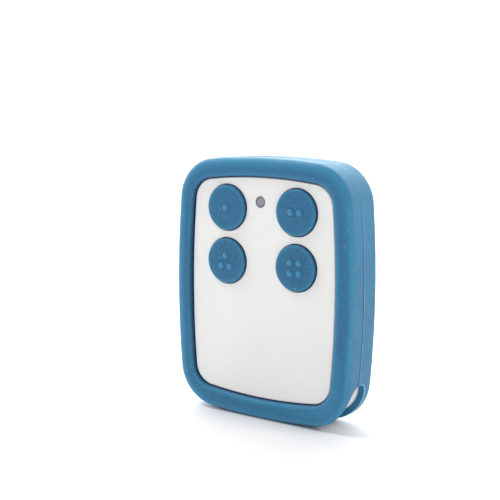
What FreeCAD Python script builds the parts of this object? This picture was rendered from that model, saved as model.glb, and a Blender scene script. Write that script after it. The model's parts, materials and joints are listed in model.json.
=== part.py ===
"""Hand-held four-button radio remote in a silicone sleeve, as a parametric assembly.

Millimetres. X runs across the face, Z up it, and Y from the face (negative) to the back.
The origin is at the middle of the bottom edge, half way through the thickness.
Every size is a cell of the sheet "Sizes"; the texts below that start with "Sizes." are
expressions on those cells, and bind each feature to them.
"""
import FreeCAD, Part
import math
import os
import Sketcher

SIZES = [
    # sleeve
    ("width", 52.8, "sleeve, left to right"),
    ("height", 65.7, "sleeve, bottom to top"),
    ("side_arc", 254.7, "radius of the bowed left and right sides"),
    ("end_arc", 171.8, "radius of the bowed top and bottom"),
    ("corner_arc", 10.7, "outer corner radius"),
    ("sleeve_wall", 1.6, "wall around the shells"),
    ("sleeve_fit", 0.05, "space between the sleeve and the shells"),
    ("front_round", 1.2, "rounding of the sleeve's front edge"),
    ("back_round", 2.0, "rounding of the sleeve's back edge"),
    ("lip_side", 4.83, "width of the lip at each side"),
    ("lip_top", 4.58, "width of the lip at the top"),
    ("lip_bottom", 5.1, "width of the lip at the bottom"),
    ("lip_thickness", 1.5, "thickness of the lip"),
    ("lip_rise", 1.0, "height of the lip above the panel inside it"),
    ("lip_round", 0.8, "rounding of the lip's inner edge"),
    ("lip_gap", 0.25, "groove between the lip and the raised panel"),
    ("opening_side_arc", 248.2, "radius of the opening's bowed sides"),
    ("opening_end_arc", 127.6, "radius of the opening's bowed ends"),
    ("opening_corner", 5.7, "corner radius of the opening"),
    ("slot_length", 14.9, "lanyard slot, measured across the corner"),
    ("slot_width", 7.8, "lanyard slot, along the thickness"),
    ("slot_depth", 5.55, "slot's middle, behind the front of the lip"),
    ("slot_cut", 5.5, "how far in from the corner's tip the slot is cut"),
    # shells
    ("shell_wall", 1.5, "side wall of both shells"),
    ("panel_thickness", 1.6, "front shell's raised panel"),
    ("back_thickness", 1.3, "rear shell's raised panel"),
    ("panel_round", 0.25, "rounding of both raised panels' edges"),
    ("split_above_board", 1.1, "shells' joint, in front of the circuit board"),
    ("tongue_width", 0.65, "tongue of the front shell"),
    ("tongue_height", 0.8, "how far the tongue enters the rear shell"),
    ("tongue_gap", 0.05, "clearance around the tongue"),
    ("label_width", 26.0, "blank label field on the back"),
    ("label_height", 11.0, "blank label field on the back"),
    ("label_depth", 0.2, "blank label field on the back"),
    ("label_drop", 33.0, "label field's middle, below the top of the sleeve"),
    ("label_corner", 1.5, "corner radius of the label field"),
    # lanyard eye
    ("eye_radius", 5.0, "curved lanyard channel, corner tip to its middle"),
    ("eye_channel", 1.1, "radius of the channel's section"),
    ("eye_wall", 1.4, "wall behind the channel"),
    # screws
    ("screw_radius", 0.95, "screw shank"),
    ("pilot_gap", 0.03, "screw shank in its pilot hole"),
    ("screw_gap", 0.15, "screw shank in the rear shell"),
    ("screw_clear", 0.5, "screw's end, behind the front panel"),
    ("pilot_clear", 0.4, "pilot hole's end, behind the front panel"),
    ("head_radius", 1.7, "screw head"),
    ("head_height", 1.0, "screw head"),
    ("head_round", 0.25, "rounding of the screw head's edge"),
    ("head_gap", 0.2, "screw head in its counterbore"),
    ("head_sink", 0.2, "screw head below the back panel"),
    ("recess_arm", 1.0, "cross recess, half its length"),
    ("recess_slot", 0.18, "cross recess, half its arm's width"),
    ("recess_depth", 0.6, "cross recess"),
    ("boss_wall", 1.05, "wall of the front shell's screw bosses"),
    ("spigot_wall", 0.6, "wall of the rear shell's spigots"),
    ("shoulder", 0.9, "shoulder that carries the board around a spigot"),
    ("screw_side", 15.3, "lower screws, in from the side of the sleeve"),
    ("screw_bottom", 8.7, "lower screws, up from the bottom of the sleeve"),
    # buttons and their web
    ("button_radius", 5.75, "button cap"),
    ("button_gap", 0.25, "cap in its hole"),
    ("button_proud", 0.9, "cap's face in front of the panel"),
    ("button_round", 0.6, "rounding of the cap's edge"),
    ("flange_margin", 0.65, "flange beyond the cap"),
    ("flange_thickness", 0.8, "flange of the button"),
    ("key_gap", 0.1, "flange behind the panel"),
    ("button_top", 12.78, "upper buttons' middle, below the top of the sleeve"),
    ("row_gap", 0.72, "between the flanges of the two rows"),
    ("column_gap", 7.86, "between the flanges of the two columns"),
    ("post_radius", 2.0, "post behind the flange"),
    ("post_length", 0.45, "post behind the flange"),
    ("dot_pitch", 2.6, "between raised dots"),
    ("dot_rise", 0.42, "dot above the cap"),
    ("dot_sphere", 1.2, "radius of the dot's dome"),
    ("web_gap", 0.15, "keypad web around the flanges"),
    ("web_margin", 1.3, "keypad web below the lower flanges"),
    ("web_fit", 0.3, "keypad web to the shell's wall"),
    # switches
    ("press_gap", 0.05, "button's post to the switch plunger"),
    ("plunger_radius", 1.2, "plunger above the cover"),
    ("plunger_rise", 0.5, "plunger above the cover"),
    ("plunger_gap", 0.15, "plunger in the cover's hole"),
    ("plunger_foot", 1.7, "radius of the plunger's foot"),
    ("foot_thickness", 0.4, "plunger's foot"),
    ("foot_gap", 0.1, "foot below the cover"),
    ("well_gap", 0.3, "foot in the well of the switch base"),
    ("well_depth", 1.0, "well of the switch base"),
    ("cover_thickness", 0.2, "metal cover of the switch"),
    ("cover_inset", 0.1, "cover in from the base's sides"),
    ("switch_body", 1.3, "height of the switch base"),
    ("switch_side", 6.0, "side of the switch base"),
    ("lead_width", 0.7, "switch lead"),
    ("lead_length", 0.8, "switch lead beyond the base"),
    ("lead_height", 0.15, "switch lead"),
    ("lead_pitch", 4.5, "between a switch's two leads on one side"),
    # board
    ("board_thickness", 1.0, "circuit board"),
    ("board_gap", 0.3, "board to the shell's wall"),
    ("board_hole_gap", 0.2, "board's holes around the spigots"),
    # indicator
    ("window_radius", 1.4, "light pipe's window"),
    ("window_gap", 0.05, "light pipe in its hole"),
    ("window_sink", 0.12, "window behind the panel's face"),
    ("window_top", 10.87, "window's middle, below the top of the sleeve"),
    ("window_left", 0.35, "window's middle, left of the centre line"),
    ("pipe_flange", 2.0, "radius of the light pipe's flange"),
    ("pipe_flange_thickness", 0.5, "light pipe's flange"),
    ("pipe_stem", 1.0, "radius of the light pipe's stem"),
    ("led_width", 2.0, "indicator light, across"),
    ("led_height", 1.25, "indicator light, up and down"),
    ("led_thickness", 0.8, "indicator light"),
    ("led_gap", 0.15, "indicator light to the light pipe"),
    # coin cell and its contacts
    ("cell_radius", 10.0, "coin cell"),
    ("cell_thickness", 3.2, "coin cell"),
    ("cell_bottom", 20.85, "cell's middle, above the bottom of the sleeve"),
    ("can_sheet", 0.25, "sheet of the cell's can"),
    ("cap_step", 0.3, "cell's cap in front of its can"),
    ("cap_inset", 0.85, "gasket's width in the can"),
    ("gasket_gap", 0.02, "gasket to the cap and the can"),
    ("contact_lift", 0.25, "negative contact, board to cell"),
    ("contact_radius", 4.0, "negative contact"),
    ("strap_thickness", 0.25, "positive contact strap"),
    ("strap_width", 4.0, "positive contact strap"),
    ("strap_gap", 0.2, "strap to the rear shell"),
    ("strap_margin", 0.7, "strap's leg beyond the cell holder"),
    ("strap_foot", 1.2, "strap's foot on the board"),
    ("holder_gap", 0.15, "cell in its holder"),
    ("holder_wall", 1.1, "cell holder"),
    ("holder_drop", 0.4, "holder's edge below the cell's back"),
    ("holder_mouth", 10.0, "opening at the bottom of the holder"),
    # aerial and radio parts on the front of the board
    ("aerial_half_width", 17.6, "printed aerial loop, outside"),
    ("aerial_track", 1.2, "width of the aerial's track"),
    ("aerial_thickness", 0.1, "copper of the aerial"),
    ("aerial_bottom", 13.35, "aerial's lower edge, above the bottom of the sleeve"),
    ("aerial_space", 1.5, "aerial's upper edge below the switches"),
    ("aerial_break", 4.0, "gap in the aerial's upper run"),
    ("chip_width", 5.0, "controller chip"),
    ("chip_height", 4.0, "controller chip"),
    ("chip_thickness", 1.4, "controller chip"),
    ("chip_lift", 0.1, "controller chip above the board"),
    ("pin_width", 0.4, "pin of the chip"),
    ("pin_length", 1.0, "pin of the chip"),
    ("pin_height", 0.6, "pin of the chip"),
    ("pin_pitch", 1.27, "between the chip's pins"),
    ("resonator_radius", 1.8, "radio resonator's can"),
    ("resonator_height", 1.4, "radio resonator's can"),
    ("radio_side", 8.6, "resonator and crystal from the centre line"),
    ("crystal_width", 3.2, "crystal's can"),
    ("crystal_height", 2.5, "crystal's can"),
    ("crystal_thickness", 0.8, "crystal's can"),
    ("coil_side", 13.2, "coil and transistor from the centre line"),
    ("coil_radius", 1.2, "air coil"),
    ("coil_bore", 0.8, "air coil's bore"),
    ("coil_length", 2.6, "air coil"),
    ("transistor_width", 1.3, "transistor"),
    ("transistor_height", 2.9, "transistor"),
    ("transistor_thickness", 1.1, "transistor"),
    ("passive_length", 1.0, "small capacitor or resistor"),
    ("passive_width", 0.5, "small capacitor or resistor"),
    ("passive_thickness", 0.45, "small capacitor or resistor"),
    ("passive_up", 3.2, "rows of small parts from the chip's middle"),
    ("passive_pitch", 2.2, "between small parts of one row"),
]

# What lies behind what, from the lip's front plane to the back: (place, size before it).
STACK = [
    ("panel", "lip_rise"),
    ("inner", "panel_thickness"),
    ("flange", "key_gap"),
    ("flange_back", "flange_thickness"),
    ("post", "post_length"),
    ("plunger", "press_gap"),
    ("cover", "plunger_rise"),
    ("switch", "cover_thickness"),
    ("board", "switch_body"),
    ("board_back", "board_thickness"),
    ("cell", "contact_lift"),
    ("cell_back", "cell_thickness"),
    ("strap_back", "strap_thickness"),
    ("back_inner", "strap_gap"),
    ("back_panel", "back_thickness"),
    ("back", "lip_rise"),
]


def stack_places():
    """Y of every place in the stack, as expressions: the whole stack is centred on Y = 0."""
    thicknesses = [f"Sizes.{size}" for _, size in STACK]
    front = "-(" + " + ".join(thicknesses) + ") / 2"
    places = {"front": front}
    for count, (place, _) in enumerate(STACK, 1):
        places[place] = front + " + " + " + ".join(thicknesses[:count])
    return places


Y = stack_places()
Y["rebate"] = f"{Y['front']} + Sizes.lip_thickness"
Y["back_rebate"] = f"{Y['back']} - Sizes.lip_thickness"
Y["split"] = f"{Y['board']} - Sizes.split_above_board"
Y["head_seat"] = f"{Y['back_panel']} - Sizes.head_height - Sizes.head_sink"
Y["cap"] = f"{Y['panel']} - Sizes.button_proud"

MIDDLE = "Sizes.height / 2"
SKIN = "Sizes.sleeve_wall + Sizes.sleeve_fit"
CAVITY = f"{SKIN} + Sizes.shell_wall"
FLANGE_RADIUS = "Sizes.button_radius + Sizes.flange_margin"
BUTTON_X = f"({FLANGE_RADIUS} + Sizes.column_gap / 2)"
BUTTON_Z = [
    "Sizes.height - Sizes.button_top",
    f"Sizes.height - Sizes.button_top - 2 * ({FLANGE_RADIUS}) - Sizes.row_gap",
]
HOLE_RADIUS = "Sizes.button_radius + Sizes.button_gap"
SCREW_X = "Sizes.width / 2 - Sizes.screw_side"
SCREWS = [
    ("0", f"({BUTTON_Z[0]} + {BUTTON_Z[1]}) / 2"),
    (f"-({SCREW_X})", "Sizes.screw_bottom"),
    (SCREW_X, "Sizes.screw_bottom"),
]
BOSS_RADIUS = "Sizes.screw_radius + Sizes.boss_wall"
CLEAR_RADIUS = "Sizes.screw_radius + Sizes.screw_gap"
SPIGOT_RADIUS = f"{CLEAR_RADIUS} + Sizes.spigot_wall"
SHOULDER_RADIUS = f"{SPIGOT_RADIUS} + Sizes.shoulder"
WINDOW = ("-Sizes.window_left", "Sizes.height - Sizes.window_top")
CELL_Z = "Sizes.cell_bottom"
HOLDER_INNER = "Sizes.cell_radius + Sizes.holder_gap"
HOLDER_OUTER = f"{HOLDER_INNER} + Sizes.holder_wall"
AERIAL_TOP = f"{BUTTON_Z[1]} - Sizes.switch_side / 2 - Sizes.aerial_space"
RADIO_Z = f"({AERIAL_TOP} + Sizes.aerial_bottom) / 2"
EYE_BLOCK = "Sizes.eye_radius + Sizes.eye_channel + Sizes.eye_wall"

# One to four raised dots on the buttons, in half pitches from the button's middle.
DOTS = [
    [(0, 0)],
    [(-1, 0), (1, 0)],
    [(0, 1), (-1, -1), (1, -1)],
    [(-1, 1), (1, 1), (-1, -1), (1, -1)],
]

# Places of some arcs in the list that bowed_arcs gives.
RIGHT, TOP, LEFT, BOTTOM, LOWER_RIGHT = 0, 2, 4, 6, 7

# An edge within this of a plane lies in it, and one within the slack of an outline is
# inside it, in millimetres.
ON_PLANE = 1e-4
OUTLINE_SLACK = 0.05

doc = FreeCAD.newDocument("remote")
sizes = doc.addObject("Spreadsheet::Sheet", "Sizes")
subparts = []


def fill_sheet():
    for row, (alias, number, note) in enumerate(SIZES, 1):
        sizes.set(f"A{row}", alias)
        sizes.set(f"B{row}", str(number))
        sizes.setAlias(f"B{row}", alias)
        sizes.set(f"C{row}", note)
    doc.recompute()


def value(expression):
    """The number that an expression on the sheet gives now."""
    return float(sizes.evalExpression(expression))


def corner_centre():
    """Centre of the lower right corner arc, where it touches the bowed side and bottom.

    It lies one circle's radius less the corner's from the centres of both bows."""
    across = "(Sizes.side_arc - Sizes.width / 2)"
    up = "(Sizes.end_arc - Sizes.height / 2)"
    apart = f"sqrt({across}^2 + {up}^2)"
    side = "(Sizes.side_arc - Sizes.corner_arc)"
    end = "(Sizes.end_arc - Sizes.corner_arc)"
    along = f"(({side}^2 - {end}^2 + {apart}^2) / (2 * {apart}))"
    off = f"sqrt({side}^2 - {along}^2)"
    x = f"(({along} * {across} + {off} * {up}) / {apart} - {across})"
    z = f"({MIDDLE} + ({along} * {up} - {off} * {across}) / {apart})"
    return x, z


def corner_tip(inset):
    """The outermost point of the lower right corner, on its diagonal, less an inset."""
    x, z = corner_centre()
    reach = f"(Sizes.corner_arc - ({inset})) * sqrt(0.5)"
    return f"{x} + {reach}", f"{z} - {reach}"


# --- bodies, sketches and features ---------------------------------------------------


def new_body(label):
    body = doc.addObject("PartDesign::Body", label)
    body.Label = label
    subparts.append(body)
    return body


def origin_plane(body, role):
    return next(f for f in body.Origin.OriginFeatures if f.Role == role)


def face_sketch(body, y):
    """A sketch parallel to the front of the object, at this Y, in X and Z."""
    sketch = body.newObject("Sketcher::SketchObject", "Sketch")
    sketch.AttachmentSupport = [(origin_plane(body, "XZ_Plane"), "")]
    sketch.MapMode = "FlatFace"
    sketch.setExpression("AttachmentOffset.Base.z", f"-({y})")
    return sketch


def dimension(sketch, kind, references, expression):
    number = value(expression)
    index = sketch.addConstraint(Sketcher.Constraint(kind, *references, number))
    sketch.renameConstraint(index, f"size{index}")
    sketch.setExpression(f"Constraints.size{index}", expression)


def place_point(sketch, geometry, point, x, z):
    dimension(sketch, "DistanceX", (-1, 1, geometry, point), x)
    dimension(sketch, "DistanceY", (-1, 1, geometry, point), z)


def circle(sketch, x, z, radius):
    centre = FreeCAD.Vector(value(x), value(z), 0)
    up = FreeCAD.Vector(0, 0, 1)
    ring = sketch.addGeometry(Part.Circle(centre, up, value(radius)))
    place_point(sketch, ring, 3, x, z)
    dimension(sketch, "Radius", (ring,), radius)


def rectangle(sketch, low_x, low_z, high_x, high_z):
    """Four lines, from the lower left corner round by the lower right one."""
    xs = [value(low_x), value(high_x)]
    zs = [value(low_z), value(high_z)]
    corners = [
        FreeCAD.Vector(xs[0], zs[0], 0),
        FreeCAD.Vector(xs[1], zs[0], 0),
        FreeCAD.Vector(xs[1], zs[1], 0),
        FreeCAD.Vector(xs[0], zs[1], 0),
    ]
    sides = [
        sketch.addGeometry(Part.LineSegment(corners[n], corners[(n + 1) % 4]))
        for n in range(4)
    ]
    for n, side in enumerate(sides):
        sketch.addConstraint(
            Sketcher.Constraint("Coincident", side, 2, sides[(n + 1) % 4], 1)
        )
        sketch.addConstraint(
            Sketcher.Constraint("Horizontal" if n % 2 == 0 else "Vertical", side)
        )
    place_point(sketch, sides[0], 1, low_x, low_z)
    place_point(sketch, sides[2], 1, high_x, high_z)


def outer_outline(inset):
    """The sleeve's outline, moved in: half sizes, bow and corner radii, and middle."""
    return {
        "half_width": f"Sizes.width / 2 - ({inset})",
        "half_height": f"Sizes.height / 2 - ({inset})",
        "side_arc": f"Sizes.side_arc - ({inset})",
        "end_arc": f"Sizes.end_arc - ({inset})",
        "corner_arc": f"Sizes.corner_arc - ({inset})",
        "middle": MIDDLE,
    }


def opening_outline(inset):
    """The lip's inner outline, moved in by an inset."""
    lips = "(Sizes.lip_top + Sizes.lip_bottom) / 2"
    return {
        "half_width": f"Sizes.width / 2 - Sizes.lip_side - ({inset})",
        "half_height": f"Sizes.height / 2 - {lips} - ({inset})",
        "side_arc": f"Sizes.opening_side_arc - ({inset})",
        "end_arc": f"Sizes.opening_end_arc - ({inset})",
        "corner_arc": f"Sizes.opening_corner - ({inset})",
        "middle": f"{MIDDLE} + (Sizes.lip_bottom - Sizes.lip_top) / 2",
    }


def corner_angles(outline):
    """Where the upper right corner arc is: its centre from the middle, and its two angles."""
    across = value(f"{outline['side_arc']} - ({outline['half_width']})")
    up = value(f"{outline['end_arc']} - ({outline['half_height']})")
    corner = value(outline["corner_arc"])
    side = value(outline["side_arc"]) - corner
    end = value(outline["end_arc"]) - corner
    apart = math.hypot(across, up)
    along = (side**2 - end**2 + apart**2) / (2 * apart)
    off = math.sqrt(side**2 - along**2)
    x = (along * across + off * up) / apart - across
    z = (off * across - along * up) / apart
    return x, z, math.atan2(z, x + across), math.atan2(z + up, x)


def bowed_arcs(outline):
    """The eight arcs of a bowed rounded rectangle, anticlockwise from its right side:
    (centre x, centre z, radius, first angle, last angle)."""
    x, z, low, high = corner_angles(outline)
    middle = value(outline["middle"])
    side = value(outline["side_arc"])
    end = value(outline["end_arc"])
    corner = value(outline["corner_arc"])
    across = side - value(outline["half_width"])
    up = end - value(outline["half_height"])
    half_turn = math.pi
    return [
        (-across, middle, side, -low, low),
        (x, middle + z, corner, low, high),
        (0, middle - up, end, high, half_turn - high),
        (-x, middle + z, corner, half_turn - high, half_turn - low),
        (across, middle, side, half_turn - low, half_turn + low),
        (-x, middle - z, corner, half_turn + low, half_turn + high),
        (0, middle + up, end, half_turn + high, 2 * half_turn - high),
        (x, middle - z, corner, 2 * half_turn - high, 2 * half_turn - low),
    ]


def draw_arc(sketch, x, z, radius, first, last):
    ring = Part.Circle(FreeCAD.Vector(x, z, 0), FreeCAD.Vector(0, 0, 1), radius)
    return sketch.addGeometry(Part.ArcOfCircle(ring, first, last))


def bowed_loop(sketch, outline, block_radius=None):
    """A closed outline of bowed sides and round corners.

    With a block radius, the lower right corner is left solid: an arc of that radius about
    the shells' corner tip takes the place of the corner arc."""
    arcs = bowed_arcs(outline)
    if block_radius:
        x, z, radius, low, high = block_arc(arcs, block_radius)
        bottom = arcs[BOTTOM]
        right = arcs[RIGHT]
        low_end = angle_to(bottom, x, z, radius, low) % (2 * math.pi)
        high_end = angle_to(right, x, z, radius, high)
        arcs[BOTTOM] = bottom[:4] + (low_end,)
        arcs[RIGHT] = right[:3] + (high_end, right[4])
        arcs[LOWER_RIGHT] = (x, z, radius, high, low)
    rings = [draw_arc(sketch, *arc) for arc in arcs]
    for first in range(len(rings)):
        second = (first + 1) % len(rings)
        blocked = block_radius and LOWER_RIGHT in (first, second)
        kind = "Coincident" if blocked else "Tangent"
        # the block's arc is drawn the other way round, so its ends change places
        first_end = 1 if blocked and first == LOWER_RIGHT else 2
        second_end = 2 if blocked and second == LOWER_RIGHT else 1
        join = Sketcher.Constraint(kind, rings[first], first_end, rings[second], second_end)
        sketch.addConstraint(join)
    middle = outline["middle"]
    across = f"({outline['side_arc']} - ({outline['half_width']}))"
    up = f"({outline['end_arc']} - ({outline['half_height']}))"
    place_point(sketch, rings[RIGHT], 3, f"-{across}", middle)
    place_point(sketch, rings[LEFT], 3, across, middle)
    place_point(sketch, rings[TOP], 3, "0", f"{middle} - {up}")
    place_point(sketch, rings[BOTTOM], 3, "0", f"{middle} + {up}")
    for n in (RIGHT, LEFT):
        dimension(sketch, "Radius", (rings[n],), outline["side_arc"])
    for n in (TOP, BOTTOM):
        dimension(sketch, "Radius", (rings[n],), outline["end_arc"])
    for n in range(1, len(rings), 2):
        if n != LOWER_RIGHT or not block_radius:
            dimension(sketch, "Radius", (rings[n],), outline["corner_arc"])
    if block_radius:
        tip_x, tip_z = corner_tip(SKIN)
        place_point(sketch, rings[LOWER_RIGHT], 3, tip_x, tip_z)
        dimension(sketch, "Radius", (rings[LOWER_RIGHT],), block_radius)


def crossing(arc, tip, radius, right):
    """Where a bow meets the block's circle: the crossing furthest right, or furthest left."""
    apart = math.hypot(tip[0] - arc[0], tip[1] - arc[1])
    along = (arc[2] ** 2 - radius**2 + apart**2) / (2 * apart)
    off = math.sqrt(arc[2] ** 2 - along**2)
    step = ((tip[0] - arc[0]) / apart, (tip[1] - arc[1]) / apart)
    points = [
        (
            arc[0] + along * step[0] - turn * off * step[1],
            arc[1] + along * step[1] + turn * off * step[0],
        )
        for turn in (1, -1)
    ]
    return max(points) if right else min(points)


def block_arc(arcs, block_radius):
    """The block's arc about the corner tip, from its end on the bottom bow to its end on
    the side bow; it curves into the space, so it runs clockwise."""
    tip = tuple(value(place) for place in corner_tip(SKIN))
    radius = value(block_radius)
    low = crossing(arcs[BOTTOM], tip, radius, False)
    high = crossing(arcs[RIGHT], tip, radius, True)
    if high[1] < tip[1]:
        raise ValueError("the eye block misses the side wall")
    first = math.atan2(low[1] - tip[1], low[0] - tip[0]) % (2 * math.pi)
    last = math.atan2(high[1] - tip[1], high[0] - tip[0]) % (2 * math.pi)
    return tip[0], tip[1], radius, first, last


def angle_to(bow, x, z, radius, turn):
    """The angle on a bow of the point on another circle that lies at this turn on it."""
    across = x + radius * math.cos(turn) - bow[0]
    up = z + radius * math.sin(turn) - bow[1]
    return math.atan2(up, across)


def pad(body, draw, front, back):
    """Material between two places in Y. The sketch is at the back; a pad grows forwards."""
    sketch = face_sketch(body, back)
    draw(sketch)
    feature = body.newObject("PartDesign::Pad", "Pad")
    feature.Profile = sketch
    feature.setExpression("Length", f"({back}) - ({front})")
    doc.recompute()
    return feature


def pocket(body, draw, front, back):
    """A cut between two places in Y. The sketch is at the front; a pocket cuts backwards."""
    before = body.Shape.Volume
    sketch = face_sketch(body, front)
    draw(sketch)
    feature = body.newObject("PartDesign::Pocket", "Pocket")
    feature.Profile = sketch
    feature.setExpression("Length", f"({back}) - ({front})")
    doc.recompute()
    if body.Shape.Volume >= before:
        raise ValueError(f"a pocket of {body.Label} cuts nothing")
    return feature


def fillet(body, radius, wanted):
    """Rounds the edges of the body's tip for which wanted(edge) holds."""
    base = body.Tip
    names = [f"Edge{n}" for n, edge in enumerate(base.Shape.Edges, 1) if wanted(edge)]
    if not names:
        raise ValueError(f"no edge of {body.Label} to round")
    feature = body.newObject("PartDesign::Fillet", "Fillet")
    feature.Base = (base, names)
    feature.setExpression("Radius", radius)
    doc.recompute()
    return feature


def at_y(y):
    """A test for edges that lie in one plane parallel to the face."""
    level = value(y)

    def test(edge):
        box = edge.BoundBox
        return abs(box.YMin - level) < ON_PLANE and abs(box.YMax - level) < ON_PLANE

    return test


def inside(y, outline):
    """A test for edges in the plane at y and no further out than an outline."""
    level = at_y(y)
    half_width = value(outline["half_width"]) + OUTLINE_SLACK
    half_height = value(outline["half_height"]) + OUTLINE_SLACK
    middle = value(outline["middle"])

    def test(edge):
        box = edge.BoundBox
        reach_x = max(-box.XMin, box.XMax)
        reach_z = max(middle - box.ZMin, box.ZMax - middle)
        return level(edge) and reach_x < half_width and reach_z < half_height

    return test


def add_discs(body, x, z, layers):
    """Round pads on one axis along Y: (radius, front, back) each."""
    for radius, front, back in layers:
        pad(body, lambda sketch, radius=radius: circle(sketch, x, z, radius), front, back)


def discs(label, x, z, layers):
    """A new sub-part of round pads on one axis along Y."""
    body = new_body(label)
    add_discs(body, x, z, layers)
    return body


def block(label, x, z, width, height, front, back, listed=True):
    """A box centred on x and z, between two places in Y."""
    box = doc.addObject("Part::Box", label)
    box.Label = label
    box.setExpression("Length", width)
    box.setExpression("Width", f"({back}) - ({front})")
    box.setExpression("Height", height)
    box.setExpression("Placement.Base.x", f"{x} - ({width}) / 2")
    box.setExpression("Placement.Base.y", front)
    box.setExpression("Placement.Base.z", f"{z} - ({height}) / 2")
    if listed:
        subparts.append(box)
    return box


def group(label, members):
    """Separate solids that share one node."""
    compound = doc.addObject("Part::Compound", label)
    compound.Label = label
    compound.Links = members
    subparts.append(compound)


# --- sleeve and shells ---------------------------------------------------------------


def slot_sketch(body):
    """A sketch across the lower right corner: x along Y, y along the corner's chord."""
    sketch = body.newObject("Sketcher::SketchObject", "Sketch")
    sketch.AttachmentSupport = [(origin_plane(body, "YZ_Plane"), "")]
    sketch.MapMode = "FlatFace"
    to_diagonal = FreeCAD.Rotation(FreeCAD.Vector(1, 0, 0), 45)
    sketch.AttachmentOffset = FreeCAD.Placement(FreeCAD.Vector(), to_diagonal)
    tip_x, tip_z = corner_tip("0")
    sketch.setExpression("AttachmentOffset.Base.x", f"{Y['front']} + Sizes.slot_depth")
    sketch.setExpression("AttachmentOffset.Base.y", tip_z)
    sketch.setExpression("AttachmentOffset.Base.z", tip_x)
    return sketch


def cut_slot(body):
    """The lanyard slot: a long hole with round ends, through the wall at the corner."""
    before = body.Shape.Volume
    sketch = slot_sketch(body)
    radius = value("Sizes.slot_width / 2")
    reach = value("(Sizes.slot_length - Sizes.slot_width) / 2")
    ends = [
        draw_arc(sketch, 0, reach, radius, 0, math.pi),
        draw_arc(sketch, 0, -reach, radius, math.pi, 2 * math.pi),
    ]
    sides = [
        sketch.addGeometry(
            Part.LineSegment(
                FreeCAD.Vector(-radius, reach, 0), FreeCAD.Vector(-radius, -reach, 0)
            )
        ),
        sketch.addGeometry(
            Part.LineSegment(
                FreeCAD.Vector(radius, -reach, 0), FreeCAD.Vector(radius, reach, 0)
            )
        ),
    ]
    for first, second in (
        (ends[0], sides[0]),
        (sides[0], ends[1]),
        (ends[1], sides[1]),
        (sides[1], ends[0]),
    ):
        sketch.addConstraint(Sketcher.Constraint("Tangent", first, 2, second, 1))
    half_length = "(Sizes.slot_length - Sizes.slot_width) / 2"
    place_point(sketch, ends[0], 3, "0", half_length)
    place_point(sketch, ends[1], 3, "0", f"-{half_length}")
    dimension(sketch, "Radius", (ends[0],), "Sizes.slot_width / 2")
    feature = body.newObject("PartDesign::Pocket", "Slot")
    feature.Profile = sketch
    feature.setExpression("Length", "Sizes.slot_cut")
    doc.recompute()
    if body.Shape.Volume >= before:
        raise ValueError("the lanyard slot cuts nothing")


def make_sleeve():
    body = new_body("sleeve")
    whole = outer_outline("0")
    opening = opening_outline("0")
    pad(body, lambda s: bowed_loop(s, whole), Y["front"], Y["back"])
    fillet(body, "Sizes.front_round", at_y(Y["front"]))
    fillet(body, "Sizes.back_round", at_y(Y["back"]))
    pocket(body, lambda s: bowed_loop(s, opening), Y["front"], Y["back"])
    fillet(body, "Sizes.lip_round", inside(Y["front"], opening))
    fillet(body, "Sizes.lip_round", inside(Y["back"], opening))
    room = outer_outline("Sizes.sleeve_wall")
    pocket(body, lambda s: bowed_loop(s, room), Y["rebate"], Y["back_rebate"])
    cut_slot(body)


def ring(sketch, outer_inset, inner_inset):
    bowed_loop(sketch, outer_outline(outer_inset))
    bowed_loop(sketch, outer_outline(inner_inset))


def screw_circles(sketch, radius):
    for x, z in SCREWS:
        circle(sketch, x, z, radius)


def cavity(sketch):
    """The shells' inside, less the block of the lanyard eye."""
    bowed_loop(sketch, outer_outline(CAVITY), EYE_BLOCK)


def cut_eye(body):
    """Half of the lanyard's curved channel, about the corner tip at the shells' joint."""
    before = body.Shape.Volume
    tip_x, tip_z = corner_tip(SKIN)
    feature = body.newObject("PartDesign::SubtractiveTorus", "Eye")
    feature.AttachmentSupport = [(origin_plane(body, "XZ_Plane"), "")]
    feature.MapMode = "FlatFace"
    feature.setExpression("Radius1", "Sizes.eye_radius")
    feature.setExpression("Radius2", "Sizes.eye_channel")
    feature.setExpression("AttachmentOffset.Base.x", tip_x)
    feature.setExpression("AttachmentOffset.Base.y", tip_z)
    feature.setExpression("AttachmentOffset.Base.z", f"-({Y['split']})")
    doc.recompute()
    if body.Shape.Volume >= before:
        raise ValueError(f"the eye of {body.Label} cuts nothing")


def make_front_shell():
    body = new_body("front_shell")
    panel = opening_outline("Sizes.lip_gap")
    pad(body, lambda s: bowed_loop(s, outer_outline(SKIN)), Y["rebate"], Y["split"])
    pad(body, lambda s: bowed_loop(s, panel), Y["panel"], Y["rebate"])
    fillet(body, "Sizes.panel_round", at_y(Y["panel"]))
    pocket(body, cavity, Y["inner"], Y["split"])
    pad(body, lambda s: screw_circles(s, BOSS_RADIUS), Y["inner"], Y["split"])
    tongue_back = f"{Y['split']} + Sizes.tongue_height"
    tongue_outside = f"{CAVITY} - Sizes.tongue_width"
    pad(body, lambda s: ring(s, tongue_outside, CAVITY), Y["split"], tongue_back)

    def holes(sketch):
        for z in BUTTON_Z:
            for side in (f"-{BUTTON_X}", BUTTON_X):
                circle(sketch, side, z, HOLE_RADIUS)
        circle(sketch, *WINDOW, "Sizes.window_radius + Sizes.window_gap")

    pocket(body, holes, Y["panel"], Y["inner"])
    pilot = "Sizes.screw_radius + Sizes.pilot_gap"
    pilot_front = f"{Y['inner']} + Sizes.pilot_clear"
    pocket(body, lambda s: screw_circles(s, pilot), pilot_front, Y["split"])
    cut_eye(body)


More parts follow.
